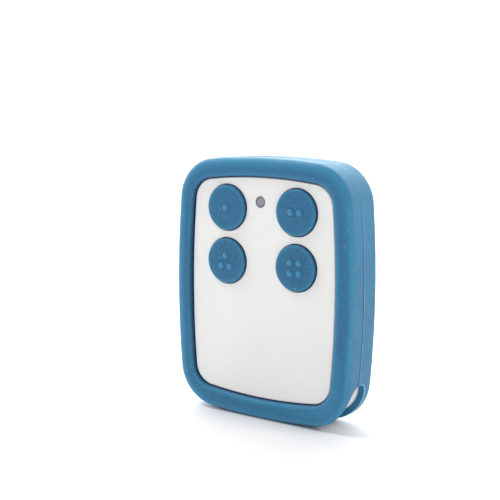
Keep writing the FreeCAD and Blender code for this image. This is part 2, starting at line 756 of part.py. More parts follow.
def rounded_field(sketch, x, z, width, height, corner):
    """A rectangle with round corners, centred on x and z."""
    half_width = value(width) / 2 - value(corner)
    half_height = value(height) / 2 - value(corner)
    centre_x = value(x)
    centre_z = value(z)
    radius = value(corner)
    quarter = math.pi / 2
    turns = [(1, 1), (-1, 1), (-1, -1), (1, -1)]
    arcs = [
        draw_arc(
            sketch,
            centre_x + right * half_width,
            centre_z + up * half_height,
            radius,
            n * quarter,
            (n + 1) * quarter,
        )
        for n, (right, up) in enumerate(turns)
    ]
    for n in range(4):
        first = sketch.Geometry[arcs[n]].EndPoint
        second = sketch.Geometry[arcs[(n + 1) % 4]].StartPoint
        side = sketch.addGeometry(Part.LineSegment(first, second))
        sketch.addConstraint(Sketcher.Constraint("Tangent", arcs[n], 2, side, 1))
        sketch.addConstraint(Sketcher.Constraint("Tangent", side, 2, arcs[(n + 1) % 4], 1))
    for n, (right, up) in enumerate(turns):
        place_point(
            sketch,
            arcs[n],
            3,
            f"{x} + ({right}) * (({width}) / 2 - ({corner}))",
            f"{z} + ({up}) * (({height}) / 2 - ({corner}))",
        )
    dimension(sketch, "Radius", (arcs[0],), corner)


def make_rear_shell():
    body = new_body("rear_shell")
    panel = opening_outline("Sizes.lip_gap")
    pad(body, lambda s: bowed_loop(s, outer_outline(SKIN)), Y["split"], Y["back_rebate"])
    pad(body, lambda s: bowed_loop(s, panel), Y["back_rebate"], Y["back_panel"])
    fillet(body, "Sizes.panel_round", at_y(Y["back_panel"]))
    pocket(body, cavity, Y["split"], Y["back_inner"])
    pad(body, lambda s: screw_circles(s, SHOULDER_RADIUS), Y["board_back"], Y["back_inner"])
    pad(body, lambda s: screw_circles(s, SPIGOT_RADIUS), Y["split"], Y["board_back"])
    groove_outside = f"{CAVITY} - Sizes.tongue_width - Sizes.tongue_gap"
    groove_inside = f"{CAVITY} + Sizes.tongue_gap"
    groove_back = f"{Y['split']} + Sizes.tongue_height + Sizes.tongue_gap"
    pocket(body, lambda s: ring(s, groove_outside, groove_inside), Y["split"], groove_back)
    pocket(body, lambda s: screw_circles(s, CLEAR_RADIUS), Y["split"], Y["back_panel"])
    bore = "Sizes.head_radius + Sizes.head_gap"
    pocket(body, lambda s: screw_circles(s, bore), Y["head_seat"], Y["back_panel"])
    cut_eye(body)

    def label(sketch):
        rounded_field(
            sketch,
            "0",
            "Sizes.height - Sizes.label_drop",
            "Sizes.label_width",
            "Sizes.label_height",
            "Sizes.label_corner",
        )

    pocket(body, label, f"{Y['back_panel']} - Sizes.label_depth", Y["back_panel"])


def cut_recess(screw, x, z, front, back):
    """The cross recess in a screw's head, as two crossed slots."""
    for wide, tall in (("recess_arm", "recess_slot"), ("recess_slot", "recess_arm")):
        sides = [
            f"{x} - Sizes.{wide}",
            f"{z} - Sizes.{tall}",
            f"{x} + Sizes.{wide}",
            f"{z} + Sizes.{tall}",
        ]
        pocket(screw, lambda sketch, sides=sides: rectangle(sketch, *sides), front, back)


def make_screws():
    members = []
    head_back = f"{Y['head_seat']} + Sizes.head_height"
    shank_front = f"{Y['inner']} + Sizes.screw_clear"
    for x, z in SCREWS:
        screw = doc.addObject("PartDesign::Body", "Screw")
        layers = [
            ("Sizes.screw_radius", shank_front, Y["head_seat"]),
            ("Sizes.head_radius", Y["head_seat"], head_back),
        ]
        add_discs(screw, x, z, layers)
        fillet(screw, "Sizes.head_round", at_y(head_back))
        cut_recess(screw, x, z, f"{head_back} - Sizes.recess_depth", head_back)
        members.append(screw)
    group("screws", members)


# --- buttons, keypad web and switches ------------------------------------------------


def add_dot(body, x, z):
    """A low dome on the cap's face, part of the same moulding."""
    dot = body.newObject("PartDesign::AdditiveSphere", "Dot")
    dot.AttachmentSupport = [(origin_plane(body, "XZ_Plane"), "")]
    dot.MapMode = "FlatFace"
    dot.setExpression("Radius", "Sizes.dot_sphere")
    dot.setExpression("AttachmentOffset.Base.x", x)
    dot.setExpression("AttachmentOffset.Base.y", z)
    centre = f"{Y['cap']} - Sizes.dot_rise + Sizes.dot_sphere"
    dot.setExpression("AttachmentOffset.Base.z", f"-({centre})")


def make_button(number, x, z):
    body = new_body(f"button_{number}")
    pad(body, lambda s: circle(s, x, z, "Sizes.button_radius"), Y["cap"], Y["flange"])
    fillet(body, "Sizes.button_round", at_y(Y["cap"]))
    pad(body, lambda s: circle(s, x, z, FLANGE_RADIUS), Y["flange"], Y["flange_back"])
    pad(body, lambda s: circle(s, x, z, "Sizes.post_radius"), Y["flange_back"], Y["post"])
    for right, up in DOTS[number - 1]:
        add_dot(
            body,
            f"{x} + ({right}) * Sizes.dot_pitch / 2",
            f"{z} + ({up}) * Sizes.dot_pitch / 2",
        )


def make_web(buttons):
    """The keypad's fixed sheet, which fills the upper part of the shell around the keys."""
    body = new_body("keypad_web")
    edge = outer_outline(f"{CAVITY} + Sizes.web_fit")
    pad(body, lambda s: bowed_loop(s, edge), Y["flange"], Y["flange_back"])
    bottom = f"{BUTTON_Z[1]} - ({FLANGE_RADIUS}) - Sizes.web_margin"

    def lower_part(sketch):
        rectangle(sketch, "-Sizes.width / 2", "0", "Sizes.width / 2", bottom)

    pocket(body, lower_part, Y["flange"], Y["flange_back"])

    def holes(sketch):
        for x, z in buttons:
            circle(sketch, x, z, f"{FLANGE_RADIUS} + Sizes.web_gap")
        circle(sketch, *SCREWS[0], f"{BOSS_RADIUS} + Sizes.web_gap")
        circle(sketch, *WINDOW, "Sizes.pipe_flange + Sizes.web_gap")

    pocket(body, holes, Y["flange"], Y["flange_back"])


def make_switch(number, x, z):
    """A tact switch: moulded base with a well, metal cover, and the plunger between."""
    half = "Sizes.switch_side / 2"

    def square(sketch, inset):
        rectangle(
            sketch,
            f"{x} - {half} + {inset}",
            f"{z} - {half} + {inset}",
            f"{x} + {half} - {inset}",
            f"{z} + {half} - {inset}",
        )

    base = new_body(f"switch_base_{number}")
    well = "Sizes.plunger_foot + Sizes.well_gap"
    well_floor = f"{Y['switch']} + Sizes.well_depth"
    pad(base, lambda s: square(s, "0"), Y["switch"], Y["board"])
    pocket(base, lambda s: circle(s, x, z, well), Y["switch"], well_floor)
    cover = new_body(f"switch_cover_{number}")
    cover_hole = "Sizes.plunger_radius + Sizes.plunger_gap"
    pad(cover, lambda s: square(s, "Sizes.cover_inset"), Y["cover"], Y["switch"])
    pocket(cover, lambda s: circle(s, x, z, cover_hole), Y["cover"], Y["switch"])
    foot_front = f"{Y['switch']} + Sizes.foot_gap"
    foot_back = f"{foot_front} + Sizes.foot_thickness"
    discs(
        f"switch_plunger_{number}",
        x,
        z,
        [
            ("Sizes.plunger_radius", Y["plunger"], foot_front),
            ("Sizes.plunger_foot", foot_front, foot_back),
        ],
    )


def make_leads(buttons):
    """Four soldered leads at each switch, two at each side."""
    members = []
    front = f"{Y['board']} - Sizes.lead_height"
    for x, z in buttons:
        for right in (1, -1):
            for up in (1, -1):
                members.append(
                    block(
                        "Lead",
                        f"{x} + ({right}) * (Sizes.switch_side + Sizes.lead_length) / 2",
                        f"{z} + ({up}) * Sizes.lead_pitch / 2",
                        "Sizes.lead_length",
                        "Sizes.lead_width",
                        front,
                        Y["board"],
                        listed=False,
                    )
                )
    group("switch_leads", members)


# --- board and what is on it ---------------------------------------------------------


def make_board():
    body = new_body("circuit_board")
    edge = outer_outline(f"{CAVITY} + Sizes.board_gap")
    notch = f"{EYE_BLOCK} + Sizes.board_gap"
    pad(body, lambda s: bowed_loop(s, edge, notch), Y["board"], Y["board_back"])
    hole = f"{SPIGOT_RADIUS} + Sizes.board_hole_gap"
    pocket(body, lambda s: screw_circles(s, hole), Y["board"], Y["board_back"])


def make_indicator():
    x, z = WINDOW
    led_front = f"{Y['board']} - Sizes.led_thickness"
    flange_front = Y["flange"]
    flange_back = f"{Y['flange']} + Sizes.pipe_flange_thickness"
    discs(
        "light_pipe",
        x,
        z,
        [
            ("Sizes.window_radius", f"{Y['panel']} + Sizes.window_sink", flange_front),
            ("Sizes.pipe_flange", flange_front, flange_back),
            ("Sizes.pipe_stem", flange_back, f"{led_front} - Sizes.led_gap"),
        ],
    )
    block("led", x, z, "Sizes.led_width", "Sizes.led_height", led_front, Y["board"])


def make_aerial():
    """A printed copper loop on the front of the board, open in the middle of its top."""
    body = new_body("aerial")
    front = f"{Y['board']} - Sizes.aerial_thickness"
    half = "Sizes.aerial_half_width"
    track = "Sizes.aerial_track"
    low = "Sizes.aerial_bottom"

    def loop(sketch):
        rectangle(sketch, f"-{half}", low, half, AERIAL_TOP)
        rectangle(
            sketch,
            f"-{half} + {track}",
            f"{low} + {track}",
            f"{half} - {track}",
            f"{AERIAL_TOP} - {track}",
        )

    pad(body, loop, front, Y["board"])

    def gap(sketch):
        rectangle(
            sketch,
            "-Sizes.aerial_break / 2",
            RADIO_Z,
            "Sizes.aerial_break / 2",
            f"{AERIAL_TOP} + {track}",
        )

    pocket(body, gap, front, Y["board"])


def make_chip():
    front = f"{Y['board']} - Sizes.chip_lift - Sizes.chip_thickness"
    back = f"{Y['board']} - Sizes.chip_lift"
    block("controller_chip", "0", RADIO_Z, "Sizes.chip_width", "Sizes.chip_height", front, back)
    pins = []
    pin_front = f"{Y['board']} - Sizes.pin_height"
    for up in (1, -1):
        for step in (-1.5, -0.5, 0.5, 1.5):
            pins.append(
                block(
                    "Pin",
                    f"({step}) * Sizes.pin_pitch",
                    f"{RADIO_Z} + ({up}) * (Sizes.chip_height + Sizes.pin_length) / 2",
                    "Sizes.pin_width",
                    "Sizes.pin_length",
                    pin_front,
                    Y["board"],
                    listed=False,
                )
            )
    group("chip_pins", pins)


def make_radio_parts():
    discs(
        "resonator",
        "Sizes.radio_side",
        RADIO_Z,
        [("Sizes.resonator_radius", f"{Y['board']} - Sizes.resonator_height", Y["board"])],
    )
    block(
        "crystal",
        "-Sizes.radio_side",
        RADIO_Z,
        "Sizes.crystal_width",
        "Sizes.crystal_height",
        f"{Y['board']} - Sizes.crystal_thickness",
        Y["board"],
    )
    block(
        "transistor",
        "-Sizes.coil_side",
        RADIO_Z,
        "Sizes.transistor_width",
        "Sizes.transistor_height",
        f"{Y['board']} - Sizes.transistor_thickness",
        Y["board"],
    )


def make_coil():
    """The radio's small wound coil, as a tube that lies along Z on the board."""
    axis_y = f"{Y['board']} - Sizes.coil_radius"
    bottom = f"{RADIO_Z} - Sizes.coil_length / 2"
    tubes = []
    for name, radius in (("CoilOutside", "coil_radius"), ("CoilBore", "coil_bore")):
        tube = doc.addObject("Part::Cylinder", name)
        tube.setExpression("Radius", f"Sizes.{radius}")
        tube.setExpression("Height", "Sizes.coil_length")
        tube.setExpression("Placement.Base.x", "Sizes.coil_side")
        tube.setExpression("Placement.Base.y", axis_y)
        tube.setExpression("Placement.Base.z", bottom)
        tubes.append(tube)
    coil = doc.addObject("Part::Cut", "coil")
    coil.Label = "coil"
    coil.Base, coil.Tool = tubes
    subparts.append(coil)


def make_passives():
    """Small capacitors in a row above the chip's middle, and resistors in one below it."""
    front = f"{Y['board']} - Sizes.passive_thickness"
    for label, up in (("capacitors", 1), ("resistors", -1)):
        members = [
            block(
                "Passive",
                f"({side}) * (Sizes.radio_side + ({step}) * Sizes.passive_pitch)",
                f"{RADIO_Z} + ({up}) * Sizes.passive_up",
                "Sizes.passive_length",
                "Sizes.passive_width",
                front,
                Y["board"],
                listed=False,
            )
            for side in (1, -1)
            for step in (-0.5, 0.5)
        ]
        group(label, members)


# --- coin cell -----------------------------------------------------------------------


def make_cell():
    """The coin cell: a can open to the front, its cap with the filling, and the gasket."""
    inside_radius = "Sizes.cell_radius - Sizes.can_sheet"
    can_front = f"{Y['cell']} + Sizes.cap_step"
    can_floor = f"{Y['cell_back']} - Sizes.can_sheet"
    can = discs("cell_can", "0", CELL_Z, [("Sizes.cell_radius", can_front, Y["cell_back"])])
    pocket(can, lambda s: circle(s, "0", CELL_Z, inside_radius), can_front, can_floor)
    cap_radius = f"{inside_radius} - Sizes.cap_inset"
    cap_back = f"{can_floor} - Sizes.gasket_gap"
    discs("cell_cap", "0", CELL_Z, [(cap_radius, Y["cell"], cap_back)])
    gasket = new_body("cell_gasket")

    def gasket_ring(sketch):
        circle(sketch, "0", CELL_Z, f"{inside_radius} - Sizes.gasket_gap")
        circle(sketch, "0", CELL_Z, f"{cap_radius} + Sizes.gasket_gap")

    pad(gasket, gasket_ring, f"{Y['cell']} + Sizes.cap_step / 2", cap_back)


def make_holder():
    """A round wall that holds the cell, open at the bottom to slide it in."""
    body = new_body("cell_holder")

    def wall(sketch):
        circle(sketch, "0", CELL_Z, HOLDER_OUTER)
        circle(sketch, "0", CELL_Z, HOLDER_INNER)

    back = f"{Y['cell_back']} - Sizes.holder_drop"
    pad(body, wall, Y["board_back"], back)

    def mouth(sketch):
        rectangle(
            sketch,
            "-Sizes.holder_mouth / 2",
            f"{CELL_Z} - ({HOLDER_OUTER}) - Sizes.holder_wall",
            "Sizes.holder_mouth / 2",
            CELL_Z,
        )

    pocket(body, mouth, Y["board_back"], back)


def make_contacts():
    discs(
        "negative_contact",
        "0",
        CELL_Z,
        [("Sizes.contact_radius", Y["board_back"], Y["cell"])],
    )
    strap = new_body("positive_contact")
    low = f"{CELL_Z} - Sizes.strap_width / 2"
    high = f"{CELL_Z} + Sizes.strap_width / 2"
    leg = f"({HOLDER_OUTER} + Sizes.strap_margin)"
    leg_outside = f"({leg} + Sizes.strap_thickness)"
    foot = f"({leg_outside} + Sizes.strap_foot)"
    pad(
        strap,
        lambda s: rectangle(s, f"-{leg_outside}", low, leg_outside, high),
        Y["cell_back"],
        Y["strap_back"],
    )

    def legs(sketch):
        rectangle(sketch, f"-{leg_outside}", low, f"-{leg}", high)
        rectangle(sketch, leg, low, leg_outside, high)

    def feet(sketch):
        rectangle(sketch, f"-{foot}", low, f"-{leg}", high)
        rectangle(sketch, leg, low, foot, high)

    pad(strap, legs, Y["board_back"], Y["cell_back"])
    pad(strap, feet, Y["board_back"], f"{Y['board_back']} + Sizes.strap_thickness")


# --- build, test and write -----------------------------------------------------------


def build():
    fill_sheet()
    buttons = [(side, z) for z in BUTTON_Z for side in (f"-{BUTTON_X}", BUTTON_X)]
    make_sleeve()
    make_front_shell()
    make_rear_shell()
    make_screws()
    for number, (x, z) in enumerate(buttons, 1):
        make_button(number, x, z)
        make_switch(number, x, z)
    make_web(buttons)
    make_leads(buttons)
    make_board()
    make_indicator()
    make_aerial()
    make_chip()
    make_radio_parts()
    make_coil()
    make_passives()
    make_cell()
    make_holder()
    make_contacts()
    doc.recompute()


def test():
    """Stops on a failed object, or a sub-part that isn't a valid solid."""
    for item in doc.Objects:
        if "Invalid" in item.State or "Error" in item.State:
            raise ValueError(f"{item.Label} failed: {item.State}")
    for item in subparts:
        shape = item.Shape
        if shape.isNull() or not shape.isValid() or not shape.Solids:
            raise ValueError(f"{item.Label} isn't a valid solid")


def write():
    os.makedirs("parts", exist_ok=True)
    for item in subparts:
        item.Shape.exportStep(f"parts/{item.Label}.step")
        box = item.Shape.BoundBox
        print(
            f"{item.Label}: {len(item.Shape.Solids)} solid(s), {item.Shape.Volume:.1f} mm3, "
            f"x {box.XMin:.2f}..{box.XMax:.2f}, y {box.YMin:.2f}..{box.YMax:.2f}, "
            f"z {box.ZMin:.2f}..{box.ZMax:.2f}"
        )


build()
test()
write()
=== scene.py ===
"""Looks of a four-button radio remote in a silicone sleeve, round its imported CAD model.

Everything is in metres in the CAD frame: X across the face, Z up it, Y from the face
(negative) to the back. The sleeve and the four buttons are modelled here in full detail;
the shells, window, screws and inner parts are the CAD's own, with procedural finishes."""

import json
import math

import bmesh
import bpy
import numpy as np
from mathutils import Matrix, Vector


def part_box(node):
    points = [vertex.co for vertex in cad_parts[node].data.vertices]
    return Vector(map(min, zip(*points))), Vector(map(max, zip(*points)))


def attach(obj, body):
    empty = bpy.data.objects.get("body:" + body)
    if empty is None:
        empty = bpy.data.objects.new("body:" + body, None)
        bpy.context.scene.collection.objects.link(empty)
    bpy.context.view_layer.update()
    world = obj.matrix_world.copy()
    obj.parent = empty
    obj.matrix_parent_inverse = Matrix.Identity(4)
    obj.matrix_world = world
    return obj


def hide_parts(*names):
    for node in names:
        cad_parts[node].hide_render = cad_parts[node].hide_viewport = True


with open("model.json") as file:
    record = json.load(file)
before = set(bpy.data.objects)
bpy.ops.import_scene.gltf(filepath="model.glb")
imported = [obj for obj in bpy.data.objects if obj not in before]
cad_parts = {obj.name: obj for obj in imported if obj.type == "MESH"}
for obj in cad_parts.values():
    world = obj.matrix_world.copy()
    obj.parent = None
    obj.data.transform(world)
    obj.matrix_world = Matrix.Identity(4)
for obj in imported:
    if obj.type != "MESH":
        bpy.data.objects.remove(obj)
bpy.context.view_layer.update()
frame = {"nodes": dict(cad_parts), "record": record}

MM = 0.001

# Camera: direction and distance from the middle of the lip's front plane.
CAMERA_AZIMUTH = math.radians(35.30)
CAMERA_ELEVATION = math.radians(8.17)
CAMERA_ROLL = 0.005
CAMERA_DISTANCE = 260.5 * MM
CAMERA_RIGHT = -2.20 * MM
CAMERA_UP = 10.11 * MM
CAMERA_LENS = 75.71
CAMERA_SENSOR = 36.0

# Sleeve: bow and corner radii of its outline and of the opening in its lip.
SIDE_ARC = 254.7 * MM
END_ARC = 171.8 * MM
CORNER = 10.7 * MM
OPENING_SIDE_ARC = 248.2 * MM
OPENING_END_ARC = 127.6 * MM
OPENING_CORNER = 5.7 * MM
LIP_SIDE = 4.83 * MM
LIP_TOP = 4.58 * MM
LIP_BOTTOM = 5.1 * MM
LIP_THICKNESS = 1.5 * MM
LIP_CROWN = 0.14 * MM
WALL = 1.6 * MM
FRONT_ROUND = 1.55 * MM
BACK_ROUND = 2.0 * MM
LIP_ROUND = 0.85 * MM
PARTING_Y = -0.6 * MM
PARTING_HEIGHT = 0.11 * MM
PARTING_HALF_WIDTH = 0.26 * MM
SKIRT_REACH = 0.21 * MM
SKIRT_THICKNESS = 0.12 * MM

# Lanyard slot in the lower right corner: half length round the corner, and how far its
# walls are in front of and behind its widest place.
SLOT_HALF_LENGTH = 8.2 * MM
SLOT_FRONT = 4.95 * MM
SLOT_BACK = 2.85 * MM
SLOT_FRONT_POWER = 2.2
SLOT_BACK_POWER = 4.0
SLOT_RIM = 0.30 * MM
SLOT_DRAFT = 0.12 * MM
SLOT_INNER_RIM = 0.12 * MM

# Buttons.
FLANGE_MARGIN = 0.65 * MM
FLANGE_THICKNESS = 0.8 * MM
POST_RADIUS = 2.0 * MM
CAP_ROUND = 0.45 * MM
CAP_CROWN = 0.12 * MM
CAP_HEIGHT = 2.6 * MM
DOT_PITCH = 2.6 * MM
DOT_RISE = 0.42 * MM
DOT_SPHERE = 1.2 * MM
DOT_BLEND = 0.1 * MM
WINDOW_RADIUS = 1.4 * MM
TRACK_LENGTH = 4.6 * MM
TRACK_PITCH = 1.1 * MM
TRACK_HALF_WIDTH = 0.09 * MM
DOTS = {
    "button_1": [(0, 0)],
    "button_2": [(-1, 0), (1, 0)],
    "button_3": [(0, 1), (-1, -1), (1, -1)],
    "button_4": [(-1, 1), (1, 1), (-1, -1), (1, -1)],
}


# --- outlines ------------------------------------------------------------------------


class Outline:
    """A bowed rounded rectangle in XZ: eight tangent arcs, anticlockwise from the right
    side. A place on it is u: the arc's number plus the share of that arc."""

    def __init__(self, half_width, half_height, side_arc, end_arc, corner, middle):
        across = side_arc - half_width
        up = end_arc - half_height
        side = side_arc - corner
        end = end_arc - corner
        apart = math.hypot(across, up)
        along = (side**2 - end**2 + apart**2) / (2 * apart)
        off = math.sqrt(side**2 - along**2)
        x = (along * across + off * up) / apart - across
        z = (off * across - along * up) / apart
        low = math.atan2(z, x + across)
        high = math.atan2(z + up, x)
        half_turn = math.pi
        self.arcs = np.array(
            [
                (-across, middle, side_arc, -low, low),
                (x, middle + z, corner, low, high),
                (0, middle - up, end_arc, high, half_turn - high),
                (-x, middle + z, corner, half_turn - high, half_turn - low),
                (across, middle, side_arc, half_turn - low, half_turn + low),
                (-x, middle - z, corner, half_turn + low, half_turn + high),
                (0, middle + up, end_arc, half_turn + high, 2 * half_turn - high),
                (x, middle - z, corner, 2 * half_turn - high, 2 * half_turn - low),
            ]
        )

    def length(self, arc):
        return self.arcs[arc, 2] * (self.arcs[arc, 4] - self.arcs[arc, 3])

    def at(self, u, inset):
        """X and Z at places u, moved in by an inset."""
        arc = np.floor(u).astype(int)
        share = u - arc
        x, z, radius, first, last = self.arcs[arc % 8].T
        angle = first + (last - first) * share
        reach = radius - inset
        return x + reach * np.cos(angle), z + reach * np.sin(angle)


sleeve_low, sleeve_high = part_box("sleeve")
front_y = sleeve_low.y
back_y = sleeve_high.y
half_width = (sleeve_high.x - sleeve_low.x) / 2
half_height = (sleeve_high.z - sleeve_low.z) / 2
middle_z = (sleeve_high.z + sleeve_low.z) / 2
outer = Outline(half_width, half_height, SIDE_ARC, END_ARC, CORNER, middle_z)
opening = Outline(
    half_width - LIP_SIDE,
    half_height - (LIP_TOP + LIP_BOTTOM) / 2,
    OPENING_SIDE_ARC,
    OPENING_END_ARC,
    OPENING_CORNER,
    middle_z + (LIP_BOTTOM - LIP_TOP) / 2,
)

SIDE_COLUMNS = 100
END_COLUMNS = 70
CORNER_COLUMNS = 50
arc_columns = [SIDE_COLUMNS, CORNER_COLUMNS, END_COLUMNS, CORNER_COLUMNS] * 2
columns = np.concatenate(
    [arc + np.arange(count) / count for arc, count in enumerate(arc_columns)]
)


def ridge(y):
    """Outward height of the moulding's parting line at a place in Y."""
    across = np.clip(np.abs(y - PARTING_Y) / PARTING_HALF_WIDTH, 0, 1)
    return PARTING_HEIGHT * (1 - across**2) ** 2


# --- sleeve --------------------------------------------------------------------------

# Every sleeve and button vertex carries two shares, read by the silicone finish: a paler
# one, mostly painted highlight with some wear on edges and dots, and a darker one, painted
# shade in gaps, recesses and the slot plus an even darkening of the button caps. They were
# tuned to the photo, so they differ from side to side.
SIDE_HIGHLIGHT = 0.22
TOP_HIGHLIGHT = 0.66
TOP_HIGHLIGHT_POWER = 1.5
CORNER_GLOW_WIDTH = 0.6
LINE_FADE = 0.75
LINE_FADE_WIDTH = 0.7
RIDGE_FREE_WIDTH = 12 * MM
PARTING_HIGHLIGHT = 1.9
PARTING_HIGHLIGHT_SHIFT = 0.07 * MM
PARTING_HIGHLIGHT_WIDTH = 0.18 * MM
PARTING_SHADE = 0.42
PARTING_SHADE_SHIFT = -0.19 * MM
PARTING_SHADE_WIDTH = 0.15 * MM
INNER_HIGHLIGHT = 0.25
INNER_HIGHLIGHT_UP = 0.85
INNER_HIGHLIGHT_LEFT = 0.4
OUTER_HIGHLIGHT = 0.88
CROWN_HIGHLIGHT_UP = 0.18
CROWN_HIGHLIGHT_CORNER = 0.45


def hump(value, middle, half_width):
    """1 at the middle, falling smoothly to 0 at half a width either side."""
    across = np.clip(np.abs(value - middle) / half_width, 0, 1)
    return (1 - across**2) ** 2


# By column: where it is round the sleeve, and which way the opening's rounding faces;
# these set how much painted highlight and shade each side gets.
column_x, column_z = outer.at(columns, 0)
column_angle = np.arctan2((column_z - middle_z) / half_height, column_x / half_width)
faces_up = np.clip(-np.sin(column_angle), 0, 1) ** 3
faces_right = np.clip(-np.cos(column_angle), 0, 1) ** 3
faces_left = np.clip(np.cos(column_angle), 0, 1) ** 3
corner_glow = hump(column_angle, -math.pi / 4, CORNER_GLOW_WIDTH)
line_share = 1 - LINE_FADE * hump(column_angle, math.pi / 4, LINE_FADE_WIDTH)
# The ridge is left out where the remote stands on its lower edge.
rests = hump(column_x, 0, RIDGE_FREE_WIDTH) * (column_z < middle_z)
ridge_fade = line_share * (1 - rests)
# Painted highlight on the outer wall, much stronger towards the top.
side_highlight = SIDE_HIGHLIGHT + TOP_HIGHLIGHT * np.clip(np.sin(column_angle), 0, 1) ** TOP_HIGHLIGHT_POWER


# Painted highlight on the parting ridge's back flank, painted shade just in front of it.
def parting_highlight(y):
    return PARTING_HIGHLIGHT * hump(y, PARTING_Y + PARTING_HIGHLIGHT_SHIFT, PARTING_HIGHLIGHT_WIDTH)


def parting_shade(y):
    return PARTING_SHADE * hump(y, PARTING_Y + PARTING_SHADE_SHIFT, PARTING_SHADE_WIDTH)


wall_front = front_y + LIP_CROWN + FRONT_ROUND
ROUND_STEPS = 8
PATCH_ROUND_STEPS = 2
CROWN_STEPS = 10
INSIDE_OUTSETS = (0.0, 1.1 * MM, 2.2 * MM)


def outline_row(outline, inset, y):
    """X, Y and Z of one row of the sleeve, round all columns."""
    x, z = outline.at(columns, inset)
    return np.stack([x, np.full_like(x, y), z], 1)


def outer_row(inset, y):
    return outline_row(outer, inset, y)


def opening_row(outset, y):
    return outline_row(opening, -outset, y)


def lip_rows(edge_y, side, round_outer, crown):
    """Rows of one lip from the opening's wall, over its face, to the outer wall.

    side is 1 for the front lip and -1 for the back one, whose rows run the same way."""
    tilt = 4 * crown / (LIP_SIDE - LIP_ROUND - round_outer)
    turn = math.pi / 2 - math.atan(tilt)
    rows = []
    shares = []
    inner_centre = edge_y + side * (crown + LIP_ROUND)
    for step in range(ROUND_STEPS + 1):
        angle = turn * step / ROUND_STEPS
        share = step / ROUND_STEPS
        # Painted highlight on this rounding, most on the lower and right lips; painted
        # shade low in it, reaching furthest on the left lip.
        level = INNER_HIGHLIGHT + INNER_HIGHLIGHT_UP * faces_up + INNER_HIGHLIGHT_LEFT * faces_left
        inner_highlight = hump(share, 0.85, 0.55) * level
        inner_shade = (1 - share) ** (2.2 - 1.6 * faces_right)
        shares.append((inner_highlight, inner_shade))
        outset = LIP_ROUND * (1 - math.cos(angle))
        y = inner_centre - side * LIP_ROUND * math.sin(angle)
        rows.append(opening_row(outset, y))
    outer_centre = edge_y + side * (crown + round_outer)
    outer_rows = []
    outer_shares = []
    for step in range(ROUND_STEPS + 1):
        angle = turn * (1 - step / ROUND_STEPS)
        # Painted highlight on the outer rounding, at least as strong as on the wall below
        # it.
        outer_highlight = OUTER_HIGHLIGHT * hump(step / ROUND_STEPS, 0.25 + 0.3 * faces_left, 0.75)
        outer_shares.append((np.maximum(outer_highlight, side_highlight), 0.0))
        inset = round_outer * (1 - math.cos(angle))
        y = outer_centre - side * round_outer * math.sin(angle)
        outer_rows.append(outer_row(inset, y))
    start = rows[-1]
    end = outer_rows[0]
    for step in range(1, CROWN_STEPS):
        share = step / CROWN_STEPS
        blend = start * (1 - share) + end * share
        blend[:, 1] -= side * crown * 4 * share * (1 - share)
        rows.append(blend)
        # Painted highlight fading over the crown from both roundings, more on the lower
        # lip and at the lower right corner.
        inner_highlight = shares[ROUND_STEPS][0] * max(0, 1 - share / 0.5) ** 2
        outer_highlight = outer_shares[0][0] * max(0, (share - 0.3) / 0.7) ** 1.5
        crown_highlight = CROWN_HIGHLIGHT_UP * faces_up + CROWN_HIGHLIGHT_CORNER * corner_glow
        edges_highlight = np.maximum(inner_highlight, outer_highlight)
        shares.append((np.maximum(crown_highlight, edges_highlight), 0.0))
    return rows + outer_rows, shares + outer_shares


front_rows, front_shares = lip_rows(front_y, 1, FRONT_ROUND, LIP_CROWN)
back_rows, back_shares = lip_rows(back_y, -1, BACK_ROUND, LIP_CROWN / 2)
back_rows.reverse()
back_shares.reverse()

wall_back = back_y - LIP_CROWN / 2 - BACK_ROUND
ROW_STEP = 0.4 * MM
PATCH_MARGIN = 1.3 * MM
parting_rows = PARTING_Y + PARTING_HALF_WIDTH * np.linspace(-1, 1, 9)
patch_back = SLOT_BACK + PATCH_MARGIN
before = np.arange(wall_front + ROW_STEP, parting_rows[0] - ROW_STEP / 2, ROW_STEP)
between = np.linspace(parting_rows[-1], patch_back, 13)[1:]
after = np.array([patch_back + (wall_back - patch_back) * 0.5])
wall_ys = np.concatenate([before, parting_rows, between, after])

sections = list(front_rows)
section_shares = list(front_shares)
first_wall_row = len(sections)
for y in wall_ys:
    sections.append(outer_row(-float(ridge(y)) * ridge_fade, y))
    wear_and_highlight = side_highlight + parting_highlight(y) * line_share
    section_shares.append((wear_and_highlight, parting_shade(y) * line_share))
last_patch_row = first_wall_row + len(wall_ys) - 2
first_patch_row = first_wall_row - 1 - PATCH_ROUND_STEPS
sections += back_rows
section_shares += back_shares
inside_back = back_y - LIP_THICKNESS
inside_front = front_y + LIP_THICKNESS
for outset in INSIDE_OUTSETS:
    sections.append(opening_row(outset, inside_back))
inner_start = len(sections)
patch_rows = last_patch_row - first_patch_row
inner_ys = np.linspace(patch_back, inside_front, patch_rows + 1)
sections.append(outer_row(WALL, inside_back))
for y in inner_ys:
    sections.append(outer_row(WALL, y))
inner_last = len(sections) - 1
for outset in (*reversed(INSIDE_OUTSETS), -SKIRT_REACH):
    sections.append(opening_row(outset, inside_front))
sections.append(opening_row(-SKIRT_REACH, inside_front - SKIRT_THICKNESS))
sections.append(opening_row(0.0, inside_front - SKIRT_THICKNESS))
# The sleeve's inside faces are in full painted shade.
while len(section_shares) < len(sections):
    section_shares.append((0.0, 1.0))

PATCH_COLUMNS = 6
corner_start = len(columns) - CORNER_COLUMNS
column_count = len(columns)
row_count = len(sections)
vertices = np.concatenate(sections)
flat_column = np.ones(column_count)
shares = np.concatenate(
    [
        np.stack([wear_and_highlight * flat_column, shade_and_darkening * flat_column], 1)
        for wear_and_highlight, shade_and_darkening in section_shares
    ]
)
patch_first = corner_start - PATCH_COLUMNS
patch_width = CORNER_COLUMNS + 2 * PATCH_COLUMNS


def vertex(row_number, column):
    return (row_number % row_count) * column_count + column % column_count


